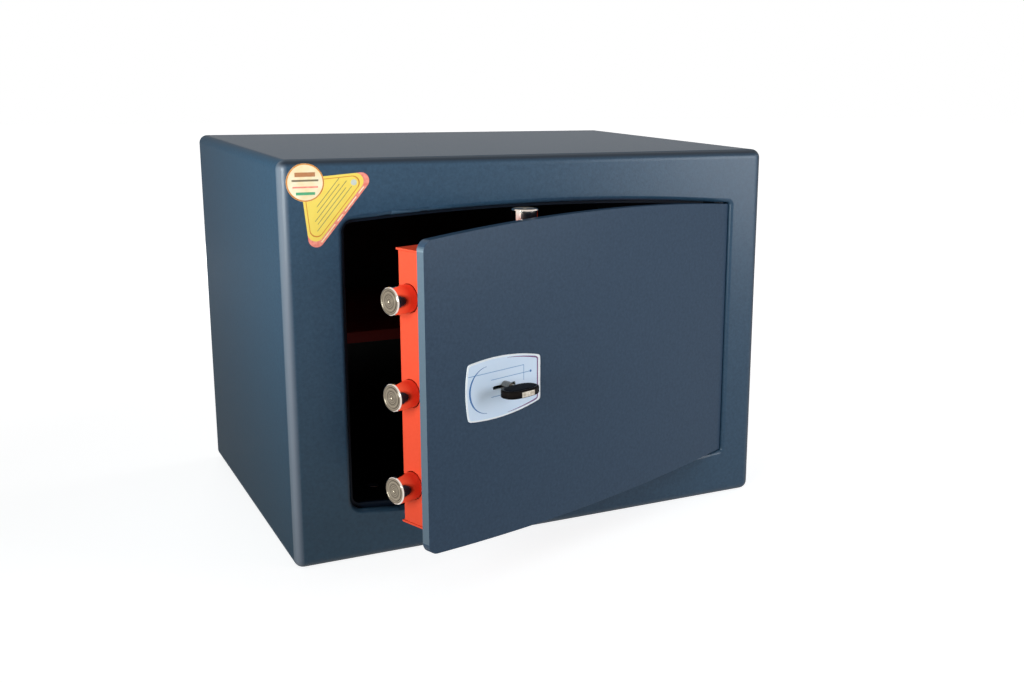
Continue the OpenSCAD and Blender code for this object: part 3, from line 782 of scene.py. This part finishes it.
class Repeater:
    """A Geometry Nodes tree that repeats a piece along a straight line."""

    def __init__(self) -> None:
        """Builds the tree with its named inputs."""
        self.tree = bpy.data.node_groups.new("repeat_along_line", "GeometryNodeTree")
        kinds = {"Geometry": "Geometry", "Count": "Int", "Pitch": "Vector", "Finish": "Material"}
        for name, kind in kinds.items():
            self.tree.interface.new_socket(name, in_out="INPUT", socket_type=f"NodeSocket{kind}")
        self.tree.interface.new_socket(
            "Geometry", in_out="OUTPUT", socket_type="NodeSocketGeometry"
        )
        graph = Graph(self.tree)
        ends = graph.add("NodeGroupInput")
        line = graph.add("GeometryNodeMeshLine", Count=ends["Count"], Offset=ends["Pitch"])
        single = {"Points": line[0], "Instance": ends["Geometry"]}
        copies = graph.add("GeometryNodeInstanceOnPoints", **single)
        real = graph.add("GeometryNodeRealizeInstances", Geometry=copies[0])
        dressed = graph.add("GeometryNodeSetMaterial", Geometry=real[0], Material=ends["Finish"])
        graph.add("NodeGroupOutput", Geometry=dressed[0])

    def apply(self, piece: Piece, count: int, pitch: Vector, finish: bpy.types.Material) -> Piece:
        """Repeats a piece and bakes it.

        Args:
            piece: the single piece, at its first place.
            count: how many there are in the end.
            pitch: from one to the next, in metres.
            finish: the material of every copy.

        Returns:
            The piece as a plain mesh with all its copies.
        """
        step = piece.modifiers.new("repeat", "NODES")
        step.node_group = self.tree
        values = {"Count": count, "Pitch": pitch, "Finish": finish}
        for socket in self.tree.interface.items_tree:
            if socket.in_out == "INPUT" and socket.name in values:
                step[socket.identifier] = values[socket.name]
        return bake(piece)


# ---- Places ----


class Place:
    """Turns face-on millimetre coordinates into the frame's metres."""

    def __init__(self, frame: dict) -> None:
        """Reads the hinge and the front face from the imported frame.
        """
        swing = next(j for j in frame["joints"] if j["name"] == "door_swing")
        pivot = Vector(swing["pos_m"])
        front_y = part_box("cabinet_shell")[0].y
        self.cabinet = Matrix.Translation((0, front_y, 0)) @ Matrix.Scale(MM, 4)
        turn = Matrix.Rotation(math.radians(-swing["range_deg"][0]), 4, "Z")
        self.door = Matrix.Translation(pivot) @ turn @ Matrix.Translation(-pivot) @ self.cabinet

    def on_axis(self, x: float, b: float, z: float, towards: Vector) -> Matrix:
        """Places a turned piece: its Z axis starts at the door's (x, b, z) and points towards."""
        turn = Vector((0, 0, 1)).rotation_difference(towards).to_matrix().to_4x4()
        return self.door @ Matrix.Translation((x, b, z)) @ turn


# ---- Sub-assemblies ----


@dataclass
class Assembly:
    """What every sub-assembly shares: the places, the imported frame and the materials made."""

    place: Place
    frame: dict
    made: dict[Finish, bpy.types.Material]

    def material(self, finish: Finish) -> bpy.types.Material:
        """Returns the material of a finish, built at its first use."""
        self.made[finish] = self.made.get(finish) or finish.value.build()
        return self.made[finish]

    def finish(self, piece: Piece, finish: Finish) -> None:
        """Gives a piece its only material and reports it.

        Args:
            piece: a packed or a new piece.
            finish: its finish.
        """
        piece.data.materials.clear()
        piece.data.materials.append(self.material(finish))
        log.info("%s in %s", piece.name, finish.value.name)

    def dress(self, names: dict[Finish, Sequence[str]]) -> None:
        """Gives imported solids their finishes.

        Args:
            names: the solids of each finish.
        """
        for finish, nodes in names.items():
            for name in nodes:
                self.finish(self.frame["nodes"][name], finish)


@dataclass
class Cabinet(Assembly):
    """The folded cabinet, its frame, hinge blocks, shelf and the two stickers on its front."""

    sticker_t: float = 0.15
    front_flat_top: float = 332.0
    edge_r: float = 8.0
    round_centre: Point = (-207.4, 322.3)
    round_r: float = 15.0
    rows: int = 24
    triangle: tuple[Point, ...] = ((-205.0, 261.2), (-147.6, 330.3), (-211.4, 325.5))
    corner_r: float = 6.5
    band: float = 3.4
    ink_t: float = 0.03
    line_inset: Point = (1.9, 2.5)
    bar_at: float = 6.5
    bar_pitch: float = 3.0
    bar_lean: float = 1.5
    bar_w: float = 0.45
    bars: tuple[Point, ...] = ((21, 66), (24, 61), (23, 64), (28, 57), (30, 59))
    dash_at: float = 1.9
    dash_w: float = 0.9
    dashes: tuple[Point, ...] = ((16, 34), (37, 44), (47, 62), (65, 72))
    dot_centre: Point = (-168.6, 321.4)
    dot_r: float = 2.4
    dot_t: float = 0.04
    rim_inset: Point = (0.1, 1.1)
    round_bars: tuple[tuple[str, float, float, float, Finish], ...] = (
        ("top", 6.3, 8.0, 3.4, Finish.BROWN),
        ("middle", 1.6, 10.5, 1.5, Finish.GREY),
        ("red", -3.6, 10.0, 1.2, Finish.PALE_RED),
        ("green", -8.6, 7.5, 2.2, Finish.GREEN),
    )

    def bend(self, bm: Shape) -> None:
        """Bends what lies above the flat front back over the cabinet's round edge.

        Args:
            bm: the shape, in the cabinet's millimetres.
        """
        for v in bm.verts:
            over = v.co.z - self.front_flat_top
            if over > 0:
                turn = over / self.edge_r
                out = self.edge_r - v.co.y
                v.co.z = self.front_flat_top + out * math.sin(turn)
                v.co.y = self.edge_r - out * math.cos(turn)

    def film(self, name: str, bm: Shape, finish: Finish) -> None:
        """Makes one printed layer and fixes it to the cabinet.

        Args:
            name: the piece's name.
            bm: the layer's flat shape.
            finish: its ink or film.
        """
        self.bend(bm)
        piece = finish_mesh(bm, name, self.place.cabinet, flat=True)
        self.finish(piece, finish)
        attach(piece, "cabinet")

    def three_sided(self, edge: float, long_side: float) -> list[Point]:
        """Returns the triangle with round corners, its sides moved in by edge and long_side."""
        r = self.corner_r - edge / 2
        return grown(inset_triangle(self.triangle, (long_side + r, edge + r, edge + r)), r)

    def triangle_sticker(self) -> None:
        """Makes the three-cornered sticker, with plain bars and dashes where the print would be."""
        t, up = self.sticker_t, self.ink_t
        low, right = Vector(self.triangle[0]), Vector(self.triangle[1])
        along = (right - low).normalized()
        inwards = Vector((-along.y, along.x))
        band = slab_shape(self.three_sided(0, 0), -t, 0)
        self.film("triangle_sticker_band", band, Finish.PALE_RED)
        sheet = slab_shape(self.three_sided(0, self.band), -2 * t, -t)
        self.film("triangle_sticker", sheet, Finish.YELLOW)
        outer, inner = (self.three_sided(d, self.band + d) for d in self.line_inset)
        rim = ring_shape(outer, inner, -2 * t - up, -2 * t)
        self.film("triangle_sticker_line", rim, Finish.ORANGE)
        for k, spans in enumerate(self.bars):
            base = low + inwards * (self.band + self.bar_at + self.bar_pitch * k)
            ends = [tuple(base + along * (d + self.bar_lean * k)) for d in spans]
            bar = strip(ends, self.bar_w, -2 * t - up, -2 * t)
            self.film(f"triangle_sticker_bar_{k}", bar, Finish.GREY)
        for k, spans in enumerate(self.dashes):
            ends = [tuple(low + inwards * self.dash_at + along * d) for d in spans]
            dash = strip(ends, self.dash_w, -t - up, -t)
            self.film(f"triangle_sticker_dash_{k}", dash, Finish.CREAM)
        dot = slab_shape(circle(self.dot_centre, self.dot_r), -2 * t - self.dot_t, -2 * t)
        self.film("triangle_sticker_dot", dot, Finish.SILVER)

    def round_sticker(self) -> None:
        """Makes the round sticker, of thin rows that bend over the edge, with plain bars."""
        t, up = self.sticker_t, self.ink_t
        disc = slab_shape(circle(self.round_centre, self.round_r), -3 * t, -2 * t)
        for k in range(1, self.rows):
            z = self.round_centre[1] - self.round_r + 2 * self.round_r * k / self.rows
            parts = disc.verts[:] + disc.edges[:] + disc.faces[:]
            bmesh.ops.bisect_plane(disc, geom=parts, plane_co=(0, 0, z), plane_no=(0, 0, 1))
        self.film("round_sticker", disc, Finish.CREAM)
        outer, inner = (circle(self.round_centre, self.round_r - d) for d in self.rim_inset)
        rim = ring_shape(outer, inner, -3 * t - up, -3 * t)
        self.film("round_sticker_rim", rim, Finish.ORANGE)
        cx, cz = self.round_centre
        for name, dz, half, wide, finish in self.round_bars:
            ends = [(cx - half, cz + dz), (cx + half, cz + dz)]
            bar = strip(ends, wide, -3 * t - up, -3 * t)
            self.film(f"round_sticker_{name}_bar", bar, finish)

    def build(self) -> None:
        """Builds and dresses the cabinet."""
        self.dress({
            Finish.PAINT: ("cabinet_shell", "back_panel"),
            # Painted shade: these parts in the opening get a near black blue.
            Finish.FRAME_PAINT: (
                "door_frame", "door_stop", "hinge_block_top", "hinge_block_bottom"
            ),
            # Painted shade: the shelf gets a dark red.
            Finish.SHELF_SHADED_RED: ("shelf",),
            # Painted shade: the brackets inside the cabinet are painted near black.
            Finish.INNER_PAINT: ("shelf_brackets",),
        })
        self.triangle_sticker()
        self.round_sticker()


@dataclass
class Door(Assembly):
    """The door's plate and label, and the red cover on its back."""

    centre: Point = (7.0, 168.0)
    left: float = -177.8
    right: float = 191.0
    arc_r: float = 2165.05
    arc_c: float = -2035.75
    corner_r: Point = (8.8, 0.3)
    corner_steps: int = 10
    arc_steps: int = 72
    thickness: float = 8.0
    arris: float = 0.9
    key_at: Point = (-99.6, 167.0)
    slot_w: float = 24.4
    slot_h: float = 3.0
    hole_r: float = 3.6
    plate_reach: float = 2.0
    field_reach: float = 3.0
    label_t: float = 0.8
    label_arcs: tuple[tuple[Point, float], ...] = (
        ((-8.8, -165.0), 190.0), ((-8.8, 165.0), 190.0), ((65.0, 0.0), 105.0)
    )
    label_right: float = 40.0
    field_inset: tuple[float, float, float] = (1.3, 2.2, 3.3)
    edge_inset: tuple[float, float, float] = (2.2, 2.0, 3.3)
    edge_from: float = 3.0
    edge_run: float = 30.0
    edge_w: Point = (0.2, 1.0)
    field_t: Point = (-0.04, 0.02)
    ink_t: float = 0.07
    arc_t: float = 0.08
    mark_arc: Point = (-17.3, 18.9)
    mark_turns: tuple[int, int, int] = (-86, 87, 4)
    mark_arc_w: Point = (0.3, 1.4)
    mark_lines: tuple[tuple[Point, Point], ...] = (
        ((-37.6, 13.4), (21.5, 13.4)), ((21.3, 13.6), (21.3, 0.8)),
        ((-13.9, 7.0), (29.0, 7.0)), ((-13.9, -7.0), (6.0, -7.0)),
    )
    mark_w: float = 0.5
    mark_dot: Point = (29.0, 7.0)
    mark_dot_r: float = 1.0
    # Where the painted highlight lies on the plate's left edge, and how it rises towards the top.
    highlight_from: float = 50.0
    highlight_rise: float = 175.0
    wear_skin: float = 0.2
    highlight_past: float = 0.3

    def outline(self) -> list[Point]:
        """Draws the arched outline of the plate, a little rounder at its left corners.

        Returns:
            Points in the door's coordinates, anticlockwise.
        """
        cx, cz = self.centre
        left_r, right_r = self.corner_r
        reach = math.degrees(math.asin((cx - self.left - left_r) / (self.arc_r - left_r)))
        upper: list[Point] = []
        for side, edge, r in ((1, self.right - cx, right_r), (-1, cx - self.left, left_r)):
            x = edge - r
            lean = math.degrees(math.asin(x / (self.arc_r - r)))
            z = self.arc_c + math.sqrt((self.arc_r - r) ** 2 - x * x)
            n = self.corner_steps
            turns = (math.radians((90 - lean) * k / n) for k in range(n + 1))
            corner = [(side * px, pz) for px, pz in arc((x, z), r, turns)]
            upper += corner[::side]
            if side > 0:
                n = self.arc_steps
                turns = (math.radians(90 - lean + (lean + reach) * k / n) for k in range(1, n))
                upper += arc((0.0, self.arc_c), self.arc_r, turns)
        return [(cx + x, cz + z) for x, z in upper] + [(cx + x, cz - z) for x, z in upper[::-1]]

    def slot_tools(self, near: float, far: float) -> list[Piece]:
        """Makes the cutters for the key slot, with round ends, and the shank's hole.

        Args:
            near: depth where the cutters start.
            far: depth where they end.

        Returns:
            Both cutters.
        """
        kx, kz = self.key_at
        half = (self.slot_w - self.slot_h) / 2
        ends = [(half, -0.01), (half, 0.01), (-half, 0.01), (-half, -0.01)]
        capsule = grown([(kx + x, kz + z) for x, z in ends], self.slot_h / 2)
        tools = (capsule, circle(self.key_at, self.hole_r, 40))
        return [
            finish_mesh(slab_shape(line, near, far), "slot_tool", self.place.door) for line in tools
        ]

    def plate(self) -> None:
        """Makes the thick plate with its eased arrises and a painted highlight along its left edge.
        """
        solid = slab_shape(self.outline(), 0, self.thickness)
        piece = finish_mesh(solid, "door_face", self.place.door, self.arris)
        cut(piece, self.slot_tools(-self.plate_reach, self.thickness + self.plate_reach))
        away = self.place.door.inverted()
        # Painted highlight: faces on the left edge are marked paler, more towards the top and less
        # where they face up.
        highlight = piece.data.attributes.new("edge_highlight", "FLOAT", "FACE")
        for face, value in zip(piece.data.polygons, highlight.data):
            at = away @ face.center
            inside = self.wear_skin < at.y < self.thickness - self.wear_skin
            on_edge = inside and at.x < self.left + self.arris + self.highlight_past
            upright = 1 - min(1.0, 2 * max(0.0, face.normal.z))
            rise = min(1.0, max(0.0, (at.z - self.highlight_from) / self.highlight_rise))
            value.value = upright * rise**2 if on_edge else 0.0
        self.finish(piece, Finish.DOOR_PAINT)
        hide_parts("door_plate")
        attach(piece, "door")

    def label_outline(self, inset: float, r: float, right: float) -> list[Point]:
        """Returns the label's outline moved inwards, with round corners.

        Args:
            inset: how far it lies inside the label's edge.
            r: the corner radius.
            right: how far it lies inside the straight right edge.

        Returns:
            Points in the door's coordinates, anticlockwise.
        """
        kx, kz = self.key_at
        d = inset + r
        side = self.label_right - right - r
        points: list[Point] = []
        for k in range(360):
            a = math.radians(k)
            u = Vector((math.cos(a), math.sin(a)))
            reach = [side / u.x] if u.x > 1e-6 else []
            for centre, big in self.label_arcs:
                c = Vector(centre)
                along = u.dot(c)
                reach.append(along + math.sqrt(along**2 - c.length_squared + (big - d) ** 2))
            t = min(reach)
            points.append((kx + t * u.x, kz + t * u.y))
        return grown(points, r)

    def ink(self, name: str, bm: Shape, finish: Finish) -> None:
        """Makes one printed layer of the label and fixes it to the door.

        Args:
            name: the piece's name.
            bm: the layer's shape.
            finish: its ink or film.
        """
        piece = finish_mesh(bm, name, self.place.door, flat=True)
        if name == "label_field":
            cut(piece, self.slot_tools(-self.field_reach, self.field_reach))
            piece.data.polygons.foreach_set("use_smooth", [False] * len(piece.data.polygons))
        self.finish(piece, finish)
        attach(piece, "door")

    def label(self) -> None:
        """Prints the label: a pale field in a white rim, an arc, thin lines and plain marks."""
        kx, kz = self.key_at
        t = self.label_t
        field = slab_shape(self.label_outline(*self.field_inset), *(d - t for d in self.field_t))
        self.ink("label_field", field, Finish.LABEL_BLUE)
        turns = [math.radians(a) for a in range(*self.mark_turns)]
        x, r = kx + self.mark_arc[0], self.mark_arc[1]
        path = [(x - r * math.cos(a), kz + r * math.sin(a)) for a in turns]
        least, more = self.mark_arc_w
        widths = [least + more * math.cos(a) ** 2 for a in turns]
        self.ink("label_arc", strip(path, widths, -t - self.arc_t, -t), Finish.LABEL_ARC)
        for k, ends in enumerate(self.mark_lines):
            line = strip([(kx + x, kz + z) for x, z in ends], self.mark_w, -t - self.ink_t, -t)
            self.ink(f"label_line_{k}", line, Finish.LABEL_LINE)
        dot = circle((kx + self.mark_dot[0], kz + self.mark_dot[1]), self.mark_dot_r, 20)
        self.ink("label_dot", slab_shape(dot, -t - self.arc_t, -t), Finish.LABEL_ARC)
        start = kx + self.edge_from
        rim = [p for p in self.label_outline(*self.edge_inset) if p[0] > start]
        top = sorted((p for p in rim if p[1] > kz), key=lambda p: (round(p[0], 2), -p[1]))
        low = sorted((p for p in rim if p[1] <= kz), key=lambda p: (-round(p[0], 2), -p[1]))
        least, more = self.edge_w
        widths = [least + more * min(1.0, (p[0] - start) / self.edge_run) for p in top + low]
        edge = strip(top + low, widths, -t - self.ink_t, -t)
        self.ink("label_edge_line", edge, Finish.LABEL_PURPLE)

    def build(self) -> None:
        """Builds and dresses the door."""
        self.dress({
            Finish.RED: ("bolt_cover", "end_plate_top", "end_plate_bottom"),
            Finish.ZINC: (
                "cover_pillars", "cover_screws", "guide_studs", "drill_plate", "lock_screws"
            ),
            Finish.STEEL: ("lock_cover", "lock_case"),
            Finish.BLACK_STEEL: ("hinge_pins",),
            Finish.LABEL_WHITE: ("keyhole_label",),
            Finish.BRASS: ("lock_tumblers",),
        })
        self.plate()
        self.label()


@dataclass
class BoltWork(Assembly):
    """The round bolts with their turned ends, and the carriage and rods that move them."""

    repeater: Repeater
    r: float = 11.0
    depth: float = 33.0
    tip_x: float = -184.4
    length: float = 35.6
    pitch: float = 74.5
    middle_z: float = 167.0
    rod_x: float = -44.0
    rod_tip: float = 132.2
    rod_length: float = 44.0
    centre_z: float = 168.0

    def profile(self, length: float) -> list[Point]:
        """Draws a bolt: a turned end with a shallow centre, a groove and a chamfer.

        Args:
            length: from the foot to the end.

        Returns:
            Radii and heights, from the end to the foot.
        """
        r, end = self.r, length
        return [
            (0, end - 0.4), (1.1, end - 0.35), (1.5, end), (8.2, end), (8.5, end - 0.3),
            (9.1, end - 0.3), (9.4, end), (r - 0.9, end), (r - 0.35, end - 0.3),
            (r, end - 0.95), (r, end / 2), (r, 0), (0, 0),
        ]

    def bolt(self, name: str, length: float, foot: Sequence[float], towards: Vector) -> Piece:
        """Turns one bolt whose foot is at a place and whose end points towards."""
        at = self.place.on_axis(*foot, towards)
        return finish_mesh(lathe_shape(self.profile(length)), name, at, smooth_deg=25)

    def build(self) -> None:
        """Builds the bolts on their three bodies and dresses the rest."""
        nickel = self.material(Finish.BOLT)
        foot = (self.tip_x + self.length, self.depth, self.middle_z - self.pitch)
        side = self.bolt("side_bolts", self.length, foot, Vector((-1, 0, 0)))
        self.repeater.apply(side, 3, Vector((0, 0, self.pitch * MM)), nickel)
        self.fix(side, "carriage", "side_bolt_upper", "side_bolt_middle", "side_bolt_lower")
        for name, body, sign in (("top_bolt", "upper_rod", 1), ("bottom_bolt", "lower_rod", -1)):
            z = self.centre_z + sign * (self.rod_tip - self.rod_length)
            foot = (self.rod_x, self.depth, z)
            piece = self.bolt(name + "_turned", self.rod_length, foot, Vector((0, 0, sign)))
            self.repeater.apply(piece, 1, Vector(), nickel)
            self.fix(piece, body, name)
        self.dress({Finish.ZINC: ("bolt_carriage", "lock_bar", "top_rod", "bottom_rod")})

    def fix(self, piece: Piece, body: str, *nodes: str) -> None:
        """Lets a bolt stand for its solids and ride on its body.

        Args:
            piece: the bolt or bolts.
            body: the body that carries them.
            nodes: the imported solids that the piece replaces.
        """
        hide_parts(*nodes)
        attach(piece, body)
        log.info("%s on %s", piece.name, body)


@dataclass
class Key(Assembly):
    """The double-bit key in the lock, with its black bow."""

    at: Point = (-99.6, 167.0)
    middle: Point = (-1.2, 20.1)
    half: Point = (17.2, 9.5)
    heights: Point = (-3.7, 2.7)
    squareness: float = 0.75
    arris: float = 1.3
    panel_inset: float = 2.4
    panel_arris: float = 0.25
    panels: tuple[tuple[str, float, float], ...] = (("upper", 2.5, 3.05), ("lower", -4.05, -3.5))
    inlay: tuple[Point, ...] = ((-8.0, -2.9), (5.5, -2.9), (5.5, 1.4), (-8.0, 1.4))
    inlay_depths: Point = (-29.85, -27.0)

    def plan(self, inset: float = 0.0, steps: int = 24) -> list[Point]:
        """Draws the bow's outline seen from above, with its corners rounded.

        Args:
            inset: how far it lies inside the bow's edge.
            steps: how many points.

        Returns:
            Points about the key's axis: sideways, and outwards from the label.
        """
        points: list[Point] = []
        for k in range(steps):
            t = 2 * math.pi * (k + 0.5) / steps
            c, s = math.cos(t), math.sin(t)
            x = (self.half[0] - inset) * math.copysign(abs(c) ** self.squareness, c)
            y = (self.half[1] - inset) * math.copysign(abs(s) ** self.squareness, s)
            points.append((self.middle[0] + x, self.middle[1] + y))
        return points

    def block(self, name: str, outline: Line, low: float, high: float, arris: float) -> Piece:
        """Makes a flat block from an outline seen from above.

        Args:
            name: the block's name.
            outline: points from plan.
            low: its lower face's height about the key's axis.
            high: its upper face's height.
            arris: radius of its edges.

        Returns:
            The new block.
        """
        kx, kz = self.at
        bm = slab_shape(outline, low, high)
        for v in bm.verts:
            v.co = Vector((kx + v.co.x, -v.co.z, kz + v.co.y))
        return finish_mesh(bm, name, self.place.door, arris=arris, smooth_deg=50)

    def bow(self) -> None:
        """Moulds the bow with soft edges, its darker panels and the steel inlay."""
        kx, kz = self.at
        piece = self.block("key_bow_moulded", self.plan(), *self.heights, self.arris)
        self.finish(piece, Finish.BOW)
        plan = self.plan(self.panel_inset)
        for side, low, high in self.panels:
            panel = self.block(f"key_bow_{side}_panel", plan, low, high, self.panel_arris)
            self.finish(panel, Finish.BOW_PANEL)
            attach(panel, "key")
        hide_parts("key_bow")
        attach(piece, "key")
        inlay = slab_shape(self.inlay, *self.inlay_depths)
        for v in inlay.verts:
            v.co += Vector((kx, 0, kz))
        plate = finish_mesh(inlay, "key_bow_inlay", self.place.door, arris=self.panel_arris)
        self.finish(plate, Finish.INLAY)
        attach(plate, "key")

    def build(self) -> None:
        """Builds and dresses the key and its rotor."""
        self.dress({Finish.KEY_STEEL: ("key_blade",), Finish.BLACK_STEEL: ("lock_rotor",)})
        self.bow()


# ---- Stage ----


@dataclass(frozen=True)
class Viewpoint:
    """The photograph's camera, from a fit to the cabinet's and the door's edges."""

    place: tuple[float, float, float] = (-0.44492, -1.11415, 0.4168)
    azimuth: float = -28.92
    elevation: float = 12.85
    roll: float = -0.965
    focal_px: float = 1202.0
    centre_px: Point = (621.6, 338.4)
    frame_px: Point = (1024.0, 683.0)
    sensor_mm: float = 36.0

    def build(self) -> None:
        """Makes the camera and gives it to the scene."""
        a, e, r = (math.radians(v) for v in (self.azimuth, self.elevation, self.roll))
        lens = bpy.data.cameras.new("camera")
        lens.sensor_width = self.sensor_mm
        lens.lens = self.focal_px / self.frame_px[0] * self.sensor_mm
        lens.shift_x = (self.frame_px[0] / 2 - self.centre_px[0]) / self.frame_px[0]
        lens.shift_y = (self.centre_px[1] - self.frame_px[1] / 2) / self.frame_px[0]
        camera = bpy.data.objects.new("camera", lens)
        axes = Matrix.Rotation(a, 4, "Z") @ Matrix.Rotation(math.pi / 2 - e, 4, "X")
        roll = Matrix.Rotation(-r, 4, "Z")
        camera.matrix_world = Matrix.Translation(self.place) @ axes @ roll
        bpy.context.scene.collection.objects.link(camera)
        bpy.context.scene.camera = camera


@dataclass(frozen=True)
class SoftBox:
    """A rectangular soft box. Lengths are in metres, power in watts and spread in degrees.

    A fill that isn't mirrored lights the far sides and shows in no reflection.
    """

    name: str
    place: tuple[float, float, float]
    aim: tuple[float, float, float]
    size: tuple[float, float]
    colour: tuple[float, float, float]
    power: float
    spread: float = 180.0
    mirrored: bool = True

    def build(self) -> None:
        """Makes the lamp."""
        lamp = bpy.data.lights.new(self.name, "AREA")
        lamp.shape = "RECTANGLE"
        lamp.size, lamp.size_y = self.size
        lamp.color = self.colour
        lamp.energy = self.power
        lamp.spread = math.radians(self.spread)
        holder = bpy.data.objects.new(self.name, lamp)
        holder.location = self.place
        way = Vector(self.aim) - Vector(self.place)
        holder.rotation_euler = way.to_track_quat("-Z", "Y").to_euler()
        holder.visible_glossy = self.mirrored
        bpy.context.scene.collection.objects.link(holder)


@dataclass(frozen=True)
class PaleFloor(Surface):
    """A matt floor that glows up to white where it is seen, but not under the safe."""

    colour: str = "#b4b4b4"
    glow: float = 0.8
    margin: float = 0.01
    fade: Point = (0.5, 1.6)

    def shader(self, graph: Graph) -> Socket:
        """Makes the shader.

        Args:
            graph: the tree that gets the nodes.

        Returns:
            The shader's socket.
        """
        matt = graph.add("ShaderNodeBsdfDiffuse", Color=linear(self.colour))[0]
        place = graph.place()
        axes = graph.axes(place)
        low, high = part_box("cabinet_shell")
        under = (
            graph.within(axes[name], low[k] + self.margin, high[k] - self.margin)
            for k, name in enumerate("XY")
        )
        clear = graph.math("MULTIPLY_ADD", graph.math("MULTIPLY", *under), -self.glow, self.glow)
        away = graph.add("ShaderNodeVectorMath", {"operation": "LENGTH"}, in_0=place)["Value"]
        reach = graph.ramp(away, *self.fade, 1.0, 1.0 / self.glow)
        lit = graph.math("MULTIPLY", graph.math("MULTIPLY", clear, reach), graph.seen())
        glow = graph.add("ShaderNodeEmission", Color=WHITE, Strength=lit)[0]
        return graph.add("ShaderNodeAddShader", in_0=matt, in_1=glow)[0]


@dataclass(frozen=True)
class Studio:
    """A pale floor, a white surround whose ceiling stays dark, and soft boxes."""

    low_light: float = 0.06
    ceiling_light: float = 0.22
    ceiling_from: Point = (0.3, 0.6)
    floor_size: float = 14.0
    lamps: tuple[SoftBox, ...] = (
        SoftBox(
            "softbox_left", (-1.15, 0.36, 0.47), (-0.156, -0.6, 0.8), (0.5, 0.9),
            (0.78, 1.0, 0.97), 3.3, 65, False,
        ),
        SoftBox(
            "softbox_left_front", (-1.05, -0.85, 0.55), (-0.05, -0.1, 0.68), (0.5, 0.7),
            (0.88, 0.98, 1.0), 6.2, 90,
        ),
        SoftBox(
            "softbox_right_front", (1.15, -1.05, 0.42), (0.1, -0.17, 0.55), (0.45, 0.7),
            (0.78, 0.88, 1.0), 1.0, 100,
        ),
        SoftBox(
            "softbox_front", (0.95, -1.25, 0.5), (0.17, -0.17, 0.25), (0.35, 0.8),
            (0.9, 0.94, 1.0), 2.1, 90,
        ),
        SoftBox(
            "fill_right", (1.5, 0.35, 0.45), (0.2, 0.0, 0.2), (0.6, 0.6), WHITE[:3], 8.0, 180, False
        ),
        SoftBox(
            "fill_back", (0.0, 1.7, 0.45), (0.0, 0.1, 0.2), (0.6, 0.6), WHITE[:3], 8.0, 180, False
        ),
    )

    def build(self) -> None:
        """Makes the floor, the world and the lamps."""
        self.world()
        self.floor()
        for lamp in self.lamps:
            lamp.build()

    def world(self) -> None:
        """Makes a world that is white where it is seen, and lights the safe from low down."""
        world = bpy.data.worlds.new("surround")
        bpy.context.scene.world = world
        world.use_nodes = True
        graph = Graph(world.node_tree)
        up = graph.axes(graph.add("ShaderNodeTexCoord")["Generated"])["Z"]
        light = graph.ramp(up, *self.ceiling_from, self.low_light, self.ceiling_light)
        level = graph.add("ShaderNodeMix", in_0=graph.seen(), in_2=light, in_3=1.0)[0]
        glow = graph.add("ShaderNodeBackground", Color=WHITE, Strength=level)[0]
        graph.add("ShaderNodeOutputWorld", Surface=glow)

    def floor(self) -> None:
        """Lays the floor and marks it as stage."""
        bpy.ops.mesh.primitive_plane_add(size=self.floor_size, location=(0, 0, 0))
        plane = bpy.context.object
        plane.name = "floor"
        plane.data.materials.append(PaleFloor("pale_studio_floor").build())
        plane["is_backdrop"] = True


def corners(box: tuple[Vector, Vector]) -> list[list[float]]:
    """Turns a box into plain lists of numbers."""
    return [[round(v, 6) for v in corner] for corner in box]


def main() -> None:
    """Builds the safe's looks in order."""
    logging.basicConfig(level=logging.INFO, format="%(name)s: %(message)s")
    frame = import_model()
    cad_box = corners(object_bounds())
    bpy.context.scene.view_settings.view_transform = "Standard"
    Viewpoint().build()
    Studio().build()
    shared = (Place(frame), frame, {})
    Cabinet(*shared).build()
    Door(*shared).build()
    BoltWork(*shared, Repeater()).build()
    Key(*shared).build()
    {"cad": cad_box, "visual": corners(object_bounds())}


if __name__ == "__main__":
    main()
